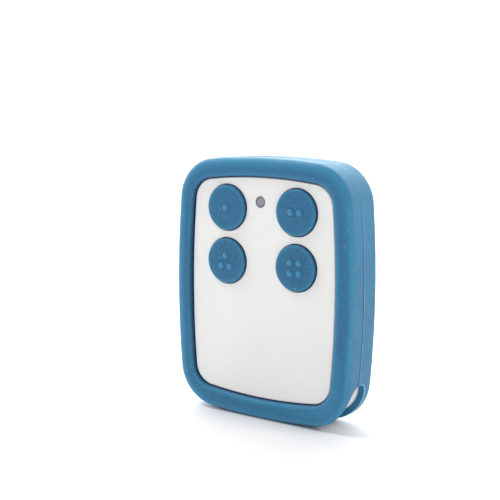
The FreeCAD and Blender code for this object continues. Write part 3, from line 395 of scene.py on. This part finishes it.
faces = []
for r in range(row_count):
    outer_patch = first_patch_row <= r < last_patch_row
    inner_patch = inner_start + 1 <= r < inner_last
    for c in range(column_count):
        in_columns = (c - patch_first) % column_count < patch_width
        if in_columns and (outer_patch or inner_patch):
            continue
        faces.append(
            (vertex(r, c), vertex(r, c + 1), vertex(r + 1, c + 1), vertex(r + 1, c))
        )

# --- slot ----------------------------------------------------------------------------

# A patch of rings fills the gap left in the grid round the slot. Its places are (s, t): s
# round the corner from its diagonal, t along the section from the front rounding's end.
corner_length = outer.length(7)
side_length = outer.length(0)
end_length = outer.length(6)


def slot_u(s):
    """Place on the outline of a distance round it from the corner's diagonal."""
    half = corner_length / 2
    corner_u = 7.5 + s / corner_length
    side_u = 8 + (s - half) / side_length
    end_u = 7 + (s + half) / end_length
    return np.where(s > half, side_u, np.where(s < -half, end_u, corner_u)) % 8


def slot_s(u):
    half = corner_length / 2
    if u >= 7:
        return (u - 7.5) * corner_length
    if u < 1:
        return half + u * side_length
    return -half - (7 - u) * end_length


def skin(s, t, depth):
    """Points of the sleeve's outer skin, sunk by a depth."""
    bend = np.clip(-t / FRONT_ROUND, 0, math.pi / 2)
    y = wall_front + np.maximum(t, 0) - FRONT_ROUND * np.sin(bend)
    inset = FRONT_ROUND * (1 - np.cos(bend)) + depth
    fade = np.clip(1 - depth / SLOT_RIM, 0, 1)
    x, z = outer.at(slot_u(s), inset - ridge(y) * fade)
    return np.stack([x, y, z], 1)


def rectangle_loop(first_row, last_row, reverse):
    """Grid places round a rectangle of the grid: first the front row, then back round."""
    rows_range = list(range(first_row, last_row + 1))
    if reverse:
        rows_range.reverse()
    cols = [patch_first + k for k in range(patch_width + 1)]
    loop = [(rows_range[0], c) for c in cols]
    loop += [(r, cols[-1]) for r in rows_range[1:]]
    loop += [(rows_range[-1], c) for c in reversed(cols[:-1])]
    loop += [(r, cols[0]) for r in reversed(rows_range[1:-1])]
    return loop


outer_loop = rectangle_loop(first_patch_row, last_patch_row, False)
inner_loop = rectangle_loop(inner_start + 1, inner_last, True)
full_turn = math.pi / 2 - math.atan(4 * LIP_CROWN / (LIP_SIDE - LIP_ROUND - FRONT_ROUND))
row_t = {}
for r in range(first_patch_row, first_wall_row):
    steps_left = first_wall_row - 1 - r
    row_t[r] = -FRONT_ROUND * full_turn * steps_left / ROUND_STEPS
for k, y in enumerate(wall_ys):
    row_t[first_wall_row + k] = y - wall_front
loop_s = np.array([slot_s(columns[c % column_count]) for _, c in outer_loop])
loop_t = np.array([row_t[r] for r, _ in outer_loop])
inner_t = np.array([vertices[vertex(r, c)][1] - wall_front for r, c in inner_loop])

# The slot is widest at Y 0.
centre_t = -wall_front
front_reach = centre_t - loop_t.min()
back_reach = loop_t.max() - centre_t
side_reach = np.abs(loop_s).max()
north = np.where(
    loop_t < centre_t, (loop_t - centre_t) / front_reach, (loop_t - centre_t) / back_reach
)
theta = np.arctan2(north, loop_s / side_reach)
power = np.where(theta < 0, SLOT_FRONT_POWER, SLOT_BACK_POWER)
reach = (np.abs(np.cos(theta)) ** power + np.abs(np.sin(theta)) ** power) ** (-1 / power)
slot_edge_s = SLOT_HALF_LENGTH * reach * np.cos(theta)
half_depth = np.where(theta < 0, SLOT_FRONT, SLOT_BACK)
slot_edge_t = centre_t + half_depth * reach * np.sin(theta)
tangent_s = np.roll(slot_edge_s, -1) - np.roll(slot_edge_s, 1)
tangent_t = np.roll(slot_edge_t, -1) - np.roll(slot_edge_t, 1)
tangent_length = np.hypot(tangent_s, tangent_t)
away_s = tangent_t / tangent_length
away_t = -tangent_s / tangent_length
if np.mean(away_s * slot_edge_s) < 0:
    away_s = -away_s
    away_t = -away_t

rings = []
ring_shares = []


def add_ring(s, t, sunk, wear_and_highlight, shade_and_darkening):
    """One ring of the patch, with its painted highlight and shade; the parting line's are
    added by place.
    """
    points = skin(s, t, sunk)
    rings.append(points)
    line_highlight = (SIDE_HIGHLIGHT + parting_highlight(points[:, 1])) * (shade_and_darkening < 1)
    line_shade = parting_shade(points[:, 1])
    painted = [np.maximum(line_highlight, wear_and_highlight), np.maximum(line_shade, shade_and_darkening)]
    ring_shares.append(np.stack(painted, 1))


SPREAD_RINGS = 7
rim_s = slot_edge_s + away_s * SLOT_RIM
rim_t = slot_edge_t + away_t * SLOT_RIM
for step in range(1, SPREAD_RINGS):
    share = step / SPREAD_RINGS
    s = loop_s * (1 - share) + rim_s * share
    t = loop_t * (1 - share) + rim_t * share
    add_ring(s, t, np.zeros_like(s), 0.0, 0.0)
# Painted highlight along the slot's rounded rim.
RIM_STEPS = 6
RIM_HIGHLIGHT = 2.0
for step in range(RIM_STEPS + 1):
    angle = math.pi / 2 * step / RIM_STEPS
    out = SLOT_RIM * (1 - math.sin(angle))
    sunk = np.full_like(rim_s, SLOT_RIM * (1 - math.cos(angle)))
    rim_highlight = RIM_HIGHLIGHT * hump(step / RIM_STEPS, 0.35, 0.5)
    add_ring(slot_edge_s + away_s * out, slot_edge_t + away_t * out, sunk, rim_highlight, 0.0)
# The slot's wall keeps the side's painted highlight, with painted shade growing inwards.
WALL_STEPS = 4
WALL_SHADE = 0.12
straight = WALL - SLOT_RIM - SLOT_INNER_RIM
for step in range(1, WALL_STEPS + 1):
    share = step / WALL_STEPS
    pull = -SLOT_DRAFT * share
    sunk = np.full_like(rim_s, SLOT_RIM + straight * share)
    s = slot_edge_s + away_s * pull
    t = slot_edge_t + away_t * pull
    add_ring(s, t, sunk, SIDE_HIGHLIGHT, WALL_SHADE * share)
# The slot's inner rim and inside are in full painted shade.
INNER_STEPS = 3
for step in range(1, INNER_STEPS + 1):
    angle = math.pi / 2 * step / INNER_STEPS
    out = SLOT_INNER_RIM * (1 - math.cos(angle)) - SLOT_DRAFT
    sunk = np.full_like(rim_s, WALL - SLOT_INNER_RIM * (1 - math.sin(angle)))
    add_ring(slot_edge_s + away_s * out, slot_edge_t + away_t * out, sunk, 0.0, 1.0)
for share in (0.35, 0.7):
    s = slot_edge_s * (1 - share) + loop_s * share
    t = slot_edge_t * (1 - share) + inner_t * share
    add_ring(s, t, np.full_like(s, WALL), 0.0, 1.0)

loop_count = len(outer_loop)
base = len(vertices)
vertices = np.concatenate([vertices] + rings)
shares = np.concatenate([shares] + ring_shares)
ring_indices = [[vertex(r, c) for r, c in outer_loop]]
for number in range(len(rings)):
    start = base + number * loop_count
    ring_indices.append(list(range(start, start + loop_count)))
ring_indices.append([vertex(r, c) for r, c in inner_loop])
for first, second in zip(ring_indices, ring_indices[1:]):
    for k in range(loop_count):
        nxt = (k + 1) % loop_count
        faces.append((first[k], first[nxt], second[nxt], second[k]))


def make_piece(name, points, polygons, painted=None, sharp_angle=math.radians(40)):
    """A mesh object with outward normals, smooth but for its sharp edges."""
    mesh = bpy.data.meshes.new(name)
    mesh.from_pydata([tuple(p) for p in points], [], polygons)
    if painted is not None:
        for label, values in (("wear_and_highlight", painted[:, 0]), ("shade_and_darkening", painted[:, 1])):
            layer = mesh.attributes.new(label, "FLOAT", "POINT")
            layer.data.foreach_set("value", np.ascontiguousarray(values, dtype=np.float32))
    work = bmesh.new()
    work.from_mesh(mesh)
    loose = [v for v in work.verts if not v.link_faces]
    bmesh.ops.delete(work, geom=loose, context="VERTS")
    bmesh.ops.recalc_face_normals(work, faces=work.faces)
    for face in work.faces:
        face.smooth = True
    for edge in work.edges:
        if edge.calc_face_angle(0.0) > sharp_angle:
            edge.smooth = False
    work.to_mesh(mesh)
    work.free()
    piece = bpy.data.objects.new(name, mesh)
    bpy.context.scene.collection.objects.link(piece)
    return piece


sleeve = make_piece("silicone_sleeve", vertices, faces, shares)
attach(sleeve, "case")
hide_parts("sleeve")


# --- buttons -------------------------------------------------------------------------

CAP_GRID = 84
CAP_ROUND_STEPS = 7
# Painted highlight near cap edges and on dots, painted shade round the dots' feet.
CAP_EDGE_HIGHLIGHT = 0.45
CAP_EDGE_START = 0.84
# The caps are a little darker all over.
CAP_DARKENING = 0.07
DOT_SHADE = 0.28
FLANGE_BEVEL = 0.1 * MM


def square_to_disc(a, b):
    """Concentric map of a square grid onto the unit disc."""
    radius = np.where(np.abs(a) > np.abs(b), a, b)
    safe_a = np.where(a == 0, 1, a)
    safe_b = np.where(b == 0, 1, b)
    angle = np.where(
        np.abs(a) > np.abs(b),
        math.pi / 4 * (b / safe_a),
        math.pi / 2 - math.pi / 4 * (a / safe_b),
    )
    return radius * np.cos(angle), radius * np.sin(angle)


def dome(distance):
    """Height of a raised dot at a distance from its middle, eased into the cap."""
    cap = DOT_RISE - DOT_SPHERE + np.sqrt(np.maximum(DOT_SPHERE**2 - distance**2, 0))
    cap = np.where(distance < DOT_SPHERE, cap, -1.0)
    ease = np.clip(0.5 + 0.5 * cap / DOT_BLEND, 0, 1)
    return ease * cap + DOT_BLEND * ease * (1 - ease)


def make_button(name):
    low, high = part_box(name)
    centre_x = (low.x + high.x) / 2
    centre_z = (low.z + high.z) / 2
    flange_radius = (high.x - low.x) / 2
    cap_radius = flange_radius - FLANGE_MARGIN
    cap_y = low.y + DOT_RISE
    flange_y = cap_y + CAP_HEIGHT
    flange_back = flange_y + FLANGE_THICKNESS
    post_y = high.y
    steps = np.linspace(-1, 1, CAP_GRID + 1)
    grid_a, grid_b = np.meshgrid(steps, steps, indexing="ij")
    disc_x, disc_z = square_to_disc(grid_a, grid_b)
    face_radius = cap_radius - CAP_ROUND
    x = (disc_x * face_radius).ravel()
    z = (disc_z * face_radius).ravel()
    distance = np.hypot(x, z)
    tilt = 2 * CAP_CROWN / face_radius
    rise = CAP_CROWN * (1 - (distance / face_radius) ** 2)
    # Painted highlight towards the edge and on the dots, painted shade round each dot's
    # foot.
    past_start = (distance - CAP_EDGE_START * face_radius) / (0.16 * face_radius)
    wear_and_highlight = CAP_EDGE_HIGHLIGHT * np.clip(past_start, 0, 1) ** 2
    shade_and_darkening = np.full_like(x, CAP_DARKENING)
    for right, up in DOTS[name]:
        dot_distance = np.hypot(x - right * DOT_PITCH / 2, z - up * DOT_PITCH / 2)
        rise = rise + dome(dot_distance)
        wear_and_highlight = np.maximum(wear_and_highlight, np.clip(dome(dot_distance) / DOT_RISE, 0, 1) ** 0.5)
        shade_and_darkening = np.maximum(shade_and_darkening, DOT_SHADE * hump(dot_distance, 1.0 * MM, 0.6 * MM))
    y = cap_y + CAP_CROWN - rise
    points = [np.stack([x + centre_x, y, z + centre_z], 1)]
    painted = [np.stack([wear_and_highlight, shade_and_darkening], 1)]
    size = CAP_GRID + 1
    polygons = [
        (a * size + b, a * size + b + 1, (a + 1) * size + b + 1, (a + 1) * size + b)
        for a in range(CAP_GRID)
        for b in range(CAP_GRID)
    ]
    last = CAP_GRID
    loop = [(a, 0) for a in range(last)]
    loop += [(last, b) for b in range(last)]
    loop += [(a, last) for a in range(last, 0, -1)]
    loop += [(0, b) for b in range(last, 0, -1)]
    edge = [a * size + b for a, b in loop]
    edge_x = x[edge] / face_radius
    edge_z = z[edge] / face_radius
    profile = []
    edge_y = cap_y + CAP_CROWN
    start_angle = math.atan(tilt)
    for step in range(1, CAP_ROUND_STEPS + 1):
        angle = start_angle + (math.pi / 2 - start_angle) * step / CAP_ROUND_STEPS
        across = face_radius + CAP_ROUND * (math.sin(angle) - math.sin(start_angle))
        across = min(across, cap_radius)
        drop = CAP_ROUND * (math.cos(start_angle) - math.cos(angle))
        profile.append((across, edge_y + drop))
    profile[-1] = (cap_radius, profile[-1][1])
    side_top = profile[-1][1]
    for share in (0.33, 0.66, 1.0):
        profile.append((cap_radius, side_top + (flange_y - side_top) * share))
    profile.append((flange_radius - FLANGE_BEVEL, flange_y))
    profile.append((flange_radius, flange_y + FLANGE_BEVEL))
    profile.append((flange_radius, flange_back - FLANGE_BEVEL))
    profile.append((flange_radius - FLANGE_BEVEL, flange_back))
    profile.append((POST_RADIUS, flange_back))
    profile.append((POST_RADIUS, post_y))
    profile.append((POST_RADIUS / 2, post_y))
    count = len(edge)
    previous = edge
    total = len(x)
    for across, level in profile:
        ring = np.stack(
            [
                edge_x * across + centre_x,
                np.full(count, level),
                edge_z * across + centre_z,
            ],
            1,
        )
        points.append(ring)
        # Painted highlight on the cap's rounding, painted shade on the side wall below it.
        side_wall_shade = np.clip((level - edge_y - 0.25 * MM) / (0.25 * MM), 0, 1)
        rim_highlight = CAP_EDGE_HIGHLIGHT * np.clip(1 - (level - edge_y) / (0.3 * MM), 0, 1)
        painted.append(np.tile([rim_highlight, side_wall_shade], (count, 1)))
        current = list(range(total, total + count))
        for k in range(count):
            nxt = (k + 1) % count
            polygons.append((previous[k], previous[nxt], current[nxt], current[k]))
        previous = current
        total += count
    points.append(np.array([[centre_x, post_y, centre_z]]))
    painted.append(np.array([[0.0, 1.0]]))
    for k in range(count):
        polygons.append((previous[k], previous[(k + 1) % count], total))
    piece = make_piece(
        "silicone_" + name, np.concatenate(points), polygons, np.concatenate(painted)
    )
    body = "key_" + name[-1]
    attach(piece, body)
    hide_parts(name)
    return piece


buttons = [make_button(name) for name in DOTS]


# --- materials -----------------------------------------------------------------------


class Finish:
    """A Principled material under construction, with its texture coordinates in metres."""

    def __init__(self, name):
        self.material = bpy.data.materials.new(name)
        self.material.use_nodes = True
        self.nodes = self.material.node_tree.nodes
        self.links = self.material.node_tree.links
        self.shader = self.nodes["Principled BSDF"]
        self.place = self.nodes.new("ShaderNodeTexCoord").outputs["Object"]

    def noise(self, size, detail=3.0, rough=0.5, stretch=None):
        """Noise whose features are about this big, in metres."""
        node = self.nodes.new("ShaderNodeTexNoise")
        node.inputs["Scale"].default_value = 1.0 / size
        node.inputs["Detail"].default_value = detail
        node.inputs["Roughness"].default_value = rough
        place = self.place
        if stretch:
            mapping = self.nodes.new("ShaderNodeMapping")
            mapping.inputs["Scale"].default_value = stretch
            self.links.new(place, mapping.inputs["Vector"])
            place = mapping.outputs["Vector"]
        self.links.new(place, node.inputs["Vector"])
        return node.outputs["Fac"]

    def remap(self, source, low, high, start=0.3, end=0.7):
        node = self.nodes.new("ShaderNodeMapRange")
        node.inputs["From Min"].default_value = start
        node.inputs["From Max"].default_value = end
        node.inputs["To Min"].default_value = low
        node.inputs["To Max"].default_value = high
        self.links.new(source, node.inputs["Value"])
        return node.outputs["Result"]

    def mix(self, factor, first, second):
        """A colour between two; each may be a colour or an output."""
        node = self.nodes.new("ShaderNodeMix")
        node.data_type = "RGBA"
        self.links.new(factor, node.inputs["Factor"])
        for value, socket in ((first, node.inputs["A"]), (second, node.inputs["B"])):
            if isinstance(value, tuple):
                socket.default_value = (*value, 1.0)
            else:
                self.links.new(value, socket)
        return node.outputs["Result"]

    def specks(self, spacing, size, share):
        """1 in small random specks, 0 elsewhere."""
        node = self.nodes.new("ShaderNodeTexVoronoi")
        node.inputs["Scale"].default_value = 1.0 / spacing
        self.links.new(self.place, node.inputs["Vector"])
        near = self.remap(node.outputs["Distance"], 1.0, 0.0, size / 2, size)
        chosen = self.nodes.new("ShaderNodeSeparateColor")
        self.links.new(node.outputs["Color"], chosen.inputs["Color"])
        some = self.remap(chosen.outputs["Red"], 1.0, 0.0, share, share + 0.01)
        both = self.nodes.new("ShaderNodeMath")
        both.operation = "MULTIPLY"
        self.links.new(near, both.inputs[0])
        self.links.new(some, both.inputs[1])
        return both.outputs["Value"]

    def share(self, label):
        """A share painted on the piece's own vertices."""
        node = self.nodes.new("ShaderNodeAttribute")
        node.attribute_name = label
        return node.outputs["Fac"]

    def scale(self, first, second):
        node = self.nodes.new("ShaderNodeMath")
        node.operation = "MULTIPLY"
        self.links.new(first, node.inputs[0])
        self.links.new(second, node.inputs[1])
        return node.outputs["Value"]

    def bump(self, height, depth, strength, under=None):
        node = self.nodes.new("ShaderNodeBump")
        node.inputs["Distance"].default_value = depth
        node.inputs["Strength"].default_value = strength
        self.links.new(height, node.inputs["Height"])
        if under:
            self.links.new(under, node.inputs["Normal"])
        return node.outputs["Normal"]

    def colour(self, output):
        self.links.new(output, self.shader.inputs["Base Color"])

    def roughness(self, output):
        self.links.new(output, self.shader.inputs["Roughness"])

    def normal(self, output):
        self.links.new(output, self.shader.inputs["Normal"])

    def constant(self, **values):
        for name, value in values.items():
            self.shader.inputs[name.replace("_", " ")].default_value = value


def shade(colour, factor):
    return tuple(min(1.0, c * factor) for c in colour)


SILICONE = (0.0172, 0.136, 0.277)
# Pale and edge colours are painted highlight; the deep colour is painted shade.
SILICONE_PALE = (0.052, 0.290, 0.485)
SILICONE_EDGE_HIGHLIGHT = (0.40, 0.70, 0.85)
SILICONE_SHADE = (0.004, 0.042, 0.13)
SILICONE_MOTTLE = (0.075, 0.245, 0.39)
DUST = (0.55, 0.66, 0.72)


def silicone_material():
    finish = Finish("silicone_blue")
    tone = finish.remap(finish.noise(9 * MM, 4.0, 0.55), 0.0, 1.0)
    body = finish.mix(tone, shade(SILICONE, 0.92), shade(SILICONE, 1.06))
    mottle = finish.remap(finish.noise(0.45 * MM, 4.0, 0.65), 0.0, 0.42, 0.45, 0.70)
    mottled = finish.mix(mottle, body, SILICONE_MOTTLE)
    # Paler share: painted highlight and wear, bright cyan at its top; darker share:
    # painted shade.
    unevenness = finish.remap(finish.noise(0.8 * MM, 4.0, 0.6), 0.62, 1.0)
    wear_and_highlight = finish.scale(finish.share("wear_and_highlight"), unevenness)
    with_wear_and_highlight = finish.mix(wear_and_highlight, mottled, SILICONE_PALE)
    with_edge_highlight = finish.mix(finish.remap(wear_and_highlight, 0.0, 1.0, 0.9, 1.7), with_wear_and_highlight, SILICONE_EDGE_HIGHLIGHT)
    with_shade = finish.mix(finish.share("shade_and_darkening"), with_edge_highlight, SILICONE_SHADE)
    specks = finish.specks(2.4 * MM, 0.05, 0.45)
    finish.colour(finish.mix(specks, with_shade, DUST))
    finish.roughness(finish.remap(finish.noise(1.6 * MM, 5.0), 0.44, 0.60))
    grain = finish.bump(finish.noise(0.16 * MM, 3.0, 0.6), 0.012 * MM, 0.5)
    waves = finish.bump(finish.noise(2.4 * MM, 2.0), 0.05 * MM, 0.35, grain)
    finish.normal(waves)
    finish.constant(Specular_IOR_Level=0.38, Sheen_Weight=0.22, Sheen_Roughness=0.4)
    finish.constant(Sheen_Tint=(0.55, 0.85, 1.0, 1.0), IOR=1.43)
    return finish.material


SHELL = (0.860, 0.858, 0.846)


def shell_material():
    finish = Finish("shell_white")
    tone = finish.remap(finish.noise(14 * MM, 4.0, 0.5), 0.0, 1.0)
    body = finish.mix(tone, shade(SHELL, 0.975), shade(SHELL, 1.01))
    mottle = finish.remap(finish.noise(0.7 * MM, 4.0, 0.65), 0.0, 0.35, 0.45, 0.75)
    finish.colour(finish.mix(mottle, body, shade(SHELL, 0.88)))
    finish.roughness(finish.remap(finish.noise(3.0 * MM, 5.0), 0.34, 0.46))
    grain = finish.bump(finish.noise(0.14 * MM, 2.0, 0.6), 0.006 * MM, 0.35)
    finish.normal(grain)
    finish.constant(Specular_IOR_Level=0.45)
    return finish.material


def plain_finish(name, colour, contrast, size, roughness, grain, depth, metal, brushed):
    """A moulded, fired or metal surface: tone, roughness and fine relief from noise. Size,
    grain and depth are in millimetres."""
    finish = Finish(name)
    stretch = BRUSHED if brushed else None
    size = size * MM
    tone = finish.remap(finish.noise(size, 5.0, 0.55, stretch), 0.0, 1.0)
    dark = shade(colour, 1 - contrast)
    finish.colour(finish.mix(tone, dark, shade(colour, 1 + contrast)))
    wear_and_highlight = finish.noise(size / 2, 4.0, 0.6, stretch)
    finish.roughness(finish.remap(wear_and_highlight, roughness * 0.8, roughness * 1.25))
    relief = finish.noise(grain * MM, 3.0, 0.6, stretch)
    finish.normal(finish.bump(relief, depth * MM, 0.5))
    finish.constant(Metallic=1.0 if metal else 0.0)
    return finish.material


def board_material():
    """Green solder resist over a square mesh of slightly raised, lighter tracks."""
    finish = Finish("solder_resist")
    lay_flat = finish.nodes.new("ShaderNodeMapping")
    lay_flat.inputs["Rotation"].default_value = (math.pi / 2, 0.0, 0.0)
    finish.links.new(finish.place, lay_flat.inputs["Vector"])
    bricks = finish.nodes.new("ShaderNodeTexBrick")
    bricks.inputs["Scale"].default_value = 1.0
    bricks.inputs["Brick Width"].default_value = TRACK_LENGTH
    bricks.inputs["Row Height"].default_value = TRACK_PITCH
    bricks.inputs["Mortar Size"].default_value = TRACK_HALF_WIDTH
    bricks.inputs["Mortar Smooth"].default_value = 0.2
    finish.links.new(lay_flat.outputs["Vector"], bricks.inputs["Vector"])
    region = finish.remap(finish.noise(6 * MM, 1.0), 0.0, 1.0, 0.46, 0.54)
    track = finish.scale(bricks.outputs["Fac"], region)
    tone = finish.remap(finish.noise(5 * MM, 4.0), 0.0, 1.0)
    resist = finish.mix(tone, (0.008, 0.080, 0.034), (0.011, 0.105, 0.045))
    finish.colour(finish.mix(track, resist, (0.016, 0.150, 0.062)))
    finish.roughness(finish.remap(finish.noise(1.5 * MM, 4.0), 0.28, 0.42))
    finish.normal(finish.bump(track, 0.02 * MM, 0.5))
    finish.constant(Coat_Weight=0.3, Coat_Roughness=0.2)
    return finish.material


def window_material():
    """A smoky moulded window, with painted shade round its rim where it meets its hole."""
    finish = Finish("window_smoke")
    low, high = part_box("light_pipe")
    centre = (low + high) / 2
    offset = finish.nodes.new("ShaderNodeVectorMath")
    offset.operation = "SUBTRACT"
    offset.inputs[1].default_value = centre
    finish.links.new(finish.place, offset.inputs[0])
    flat = finish.nodes.new("ShaderNodeVectorMath")
    flat.operation = "MULTIPLY"
    flat.inputs[1].default_value = (1.0, 0.0, 1.0)
    finish.links.new(offset.outputs["Vector"], flat.inputs[0])
    reach = finish.nodes.new("ShaderNodeVectorMath")
    reach.operation = "LENGTH"
    finish.links.new(flat.outputs["Vector"], reach.inputs[0])
    # Painted shade in a ring round the window's rim.
    rim_shade_start = 0.62 * WINDOW_RADIUS
    rim_shade = finish.remap(reach.outputs["Value"], 0.0, 1.0, rim_shade_start, WINDOW_RADIUS)
    tone = finish.remap(finish.noise(0.9 * MM, 4.0), 0.0, 1.0)
    body = finish.mix(tone, (0.205, 0.228, 0.280), (0.262, 0.290, 0.352))
    finish.colour(finish.mix(rim_shade, body, (0.045, 0.045, 0.06)))
    finish.roughness(finish.remap(finish.noise(0.5 * MM, 4.0), 0.3, 0.42))
    finish.normal(finish.bump(finish.noise(0.2 * MM), 0.008 * MM, 0.4))
    finish.constant(Specular_IOR_Level=0.6, Coat_Weight=0.25, Coat_Roughness=0.15)
    return finish.material


BRUSHED = (1.0, 1.0, 14.0)
STEEL = (0.60, 0.60, 0.61)
TIN = (0.70, 0.70, 0.69)
COPPER = (0.72, 0.36, 0.19)
NICKEL = (0.68, 0.63, 0.52)
CLEAR = (0.80, 0.74, 0.55)
CERAMIC = (0.42, 0.28, 0.16)
# Slot: name, colour, contrast, tone size, roughness, grain, depth, metal, brushed.
PLAIN = {
    "steel": ("plated_steel", STEEL, 0.08, 0.8, 0.26, 0.12, 0.004, True, True),
    "tinned_metal": ("tinned_copper", TIN, 0.10, 0.5, 0.34, 0.1, 0.006, True, False),
    "switch_plastic": (
        "switch_black", (0.018, 0.018, 0.020), 0.2, 1.0, 0.5, 0.1, 0.006, False, False
    ),
    "plunger_plastic": (
        "plunger_black", (0.028, 0.028, 0.030), 0.2, 0.8, 0.42, 0.1, 0.005, False, False
    ),
    "copper": ("bare_copper", COPPER, 0.12, 1.2, 0.32, 0.15, 0.004, True, True),
    "led_plastic": ("led_clear", CLEAR, 0.08, 0.6, 0.25, 0.1, 0.003, False, False),
    "chip_plastic": (
        "chip_black", (0.016, 0.016, 0.018), 0.2, 0.9, 0.55, 0.08, 0.008, False, False
    ),
    "capacitor_ceramic": (
        "capacitor_tan", CERAMIC, 0.12, 0.3, 0.5, 0.05, 0.004, False, False
    ),
    "resistor_ceramic": (
        "resistor_dark", (0.035, 0.035, 0.040), 0.2, 0.3, 0.4, 0.05, 0.003, False, False
    ),
    "cell_steel": (
        "cell_steel", (0.70, 0.70, 0.70), 0.06, 1.4, 0.22, 0.1, 0.003, True, True
    ),
    "gasket_plastic": (
        "gasket_grey", (0.26, 0.26, 0.25), 0.1, 0.7, 0.55, 0.08, 0.005, False, False
    ),
    "holder_plastic": (
        "holder_black", (0.022, 0.022, 0.024), 0.2, 1.6, 0.5, 0.12, 0.008, False, False
    ),
    "contact_metal": ("contact_nickel", NICKEL, 0.08, 1.0, 0.28, 0.12, 0.004, True, True),
}
materials = {
    "silicone": silicone_material(),
    "shell_plastic": shell_material(),
    "window_plastic": window_material(),
    "board": board_material(),
}
for label, values in PLAIN.items():
    materials[label] = plain_finish(*values)

for part in frame["record"]["subparts"]:
    node = frame["nodes"][part["node"]]
    node.data.materials.clear()
    node.data.materials.append(materials[part["material_slot"]])
for piece in [sleeve] + buttons:
    piece.data.materials.append(materials["silicone"])


# --- floor, light and camera ---------------------------------------------------------

FLOOR_SIZE = 3.0


def make_floor():
    steps = 8
    places = np.linspace(-FLOOR_SIZE, FLOOR_SIZE, steps + 1)
    points = [(x, y, 0.0) for x in places for y in places]
    size = steps + 1
    polygons = [
        (a * size + b, (a + 1) * size + b, (a + 1) * size + b + 1, a * size + b + 1)
        for a in range(steps)
        for b in range(steps)
    ]
    floor = make_piece("studio_floor", points, polygons)
    finish = Finish("floor_white")
    tone = finish.remap(finish.noise(60 * MM, 3.0), 0.0, 1.0)
    finish.colour(finish.mix(tone, (0.90, 0.90, 0.905), (0.92, 0.92, 0.92)))
    finish.roughness(finish.remap(finish.noise(8 * MM, 4.0), 0.55, 0.65))
    finish.constant(Specular_IOR_Level=0.3)
    floor.data.materials.append(finish.material)


make_floor()

WORLD_FILL = 0.55
WORLD_BEHIND = 2.78
BEHIND_DIRECTION = (-0.572, 0.807, 0.148)
BEHIND_START = 0.2


def make_world():
    """A pale tent, brightest behind the object."""
    world = bpy.data.worlds.new("white_tent")
    bpy.context.scene.world = world
    world.use_nodes = True
    nodes = world.node_tree.nodes
    links = world.node_tree.links
    background = nodes["Background"]
    background.inputs["Color"].default_value = (1.0, 1.0, 1.0, 1.0)
    direction = nodes.new("ShaderNodeTexCoord").outputs["Generated"]
    dot = nodes.new("ShaderNodeVectorMath")
    dot.operation = "DOT_PRODUCT"
    dot.inputs[1].default_value = BEHIND_DIRECTION
    links.new(direction, dot.inputs[0])
    lobe = nodes.new("ShaderNodeMapRange")
    lobe.interpolation_type = "SMOOTHSTEP"
    lobe.inputs["From Min"].default_value = BEHIND_START
    lobe.inputs["From Max"].default_value = 1.0
    lobe.inputs["To Min"].default_value = WORLD_FILL
    lobe.inputs["To Max"].default_value = WORLD_FILL + WORLD_BEHIND
    links.new(dot.outputs["Value"], lobe.inputs["Value"])
    links.new(lobe.outputs["Result"], background.inputs["Strength"])


make_world()


def softbox(name, place, aim, size, power):
    light = bpy.data.lights.new(name, "AREA")
    light.shape = "DISK"
    light.size = size
    light.energy = power
    lamp = bpy.data.objects.new(name, light)
    bpy.context.scene.collection.objects.link(lamp)
    lamp.location = place
    lamp.rotation_mode = "QUATERNION"
    lamp.rotation_quaternion = (Vector(aim) - Vector(place)).to_track_quat("-Z", "Y")


target = Vector((0.0, 0.0, middle_z))
softbox("softbox_back", (-0.15, 0.30, 0.50), target, 0.30, 0.78)
softbox("softbox_high", (-0.35, -0.15, 0.60), target, 0.20, 1.55)
softbox("softbox_left", (-0.55, -0.12, 0.30), target, 0.20, 0.29)
softbox("softbox_right", (0.45, 0.15, 0.40), target, 0.25, 0.64)


def make_camera():
    azimuth = CAMERA_AZIMUTH
    elevation = CAMERA_ELEVATION
    back = Vector(
        (
            math.sin(azimuth) * math.cos(elevation),
            -math.cos(azimuth) * math.cos(elevation),
            math.sin(elevation),
        )
    )
    right = (-back).cross(Vector((0, 0, 1))).normalized()
    up = right.cross(-back)
    aim = Vector((0.0, front_y, middle_z)) + CAMERA_RIGHT * right + CAMERA_UP * up
    turned_right = math.cos(CAMERA_ROLL) * right + math.sin(CAMERA_ROLL) * up
    turned_up = math.cos(CAMERA_ROLL) * up - math.sin(CAMERA_ROLL) * right
    data = bpy.data.cameras.new("camera")
    data.lens = CAMERA_LENS
    data.sensor_width = CAMERA_SENSOR
    data.clip_start = 0.01
    data.clip_end = 20.0
    camera = bpy.data.objects.new("camera", data)
    bpy.context.scene.collection.objects.link(camera)
    axes = Matrix((turned_right, turned_up, back)).transposed().to_4x4()
    axes.translation = aim + back * CAMERA_DISTANCE
    camera.matrix_world = axes
    bpy.context.scene.camera = camera


make_camera()
bpy.context.scene.view_settings.view_transform = "Standard"
bpy.context.scene.cycles.use_denoising = True
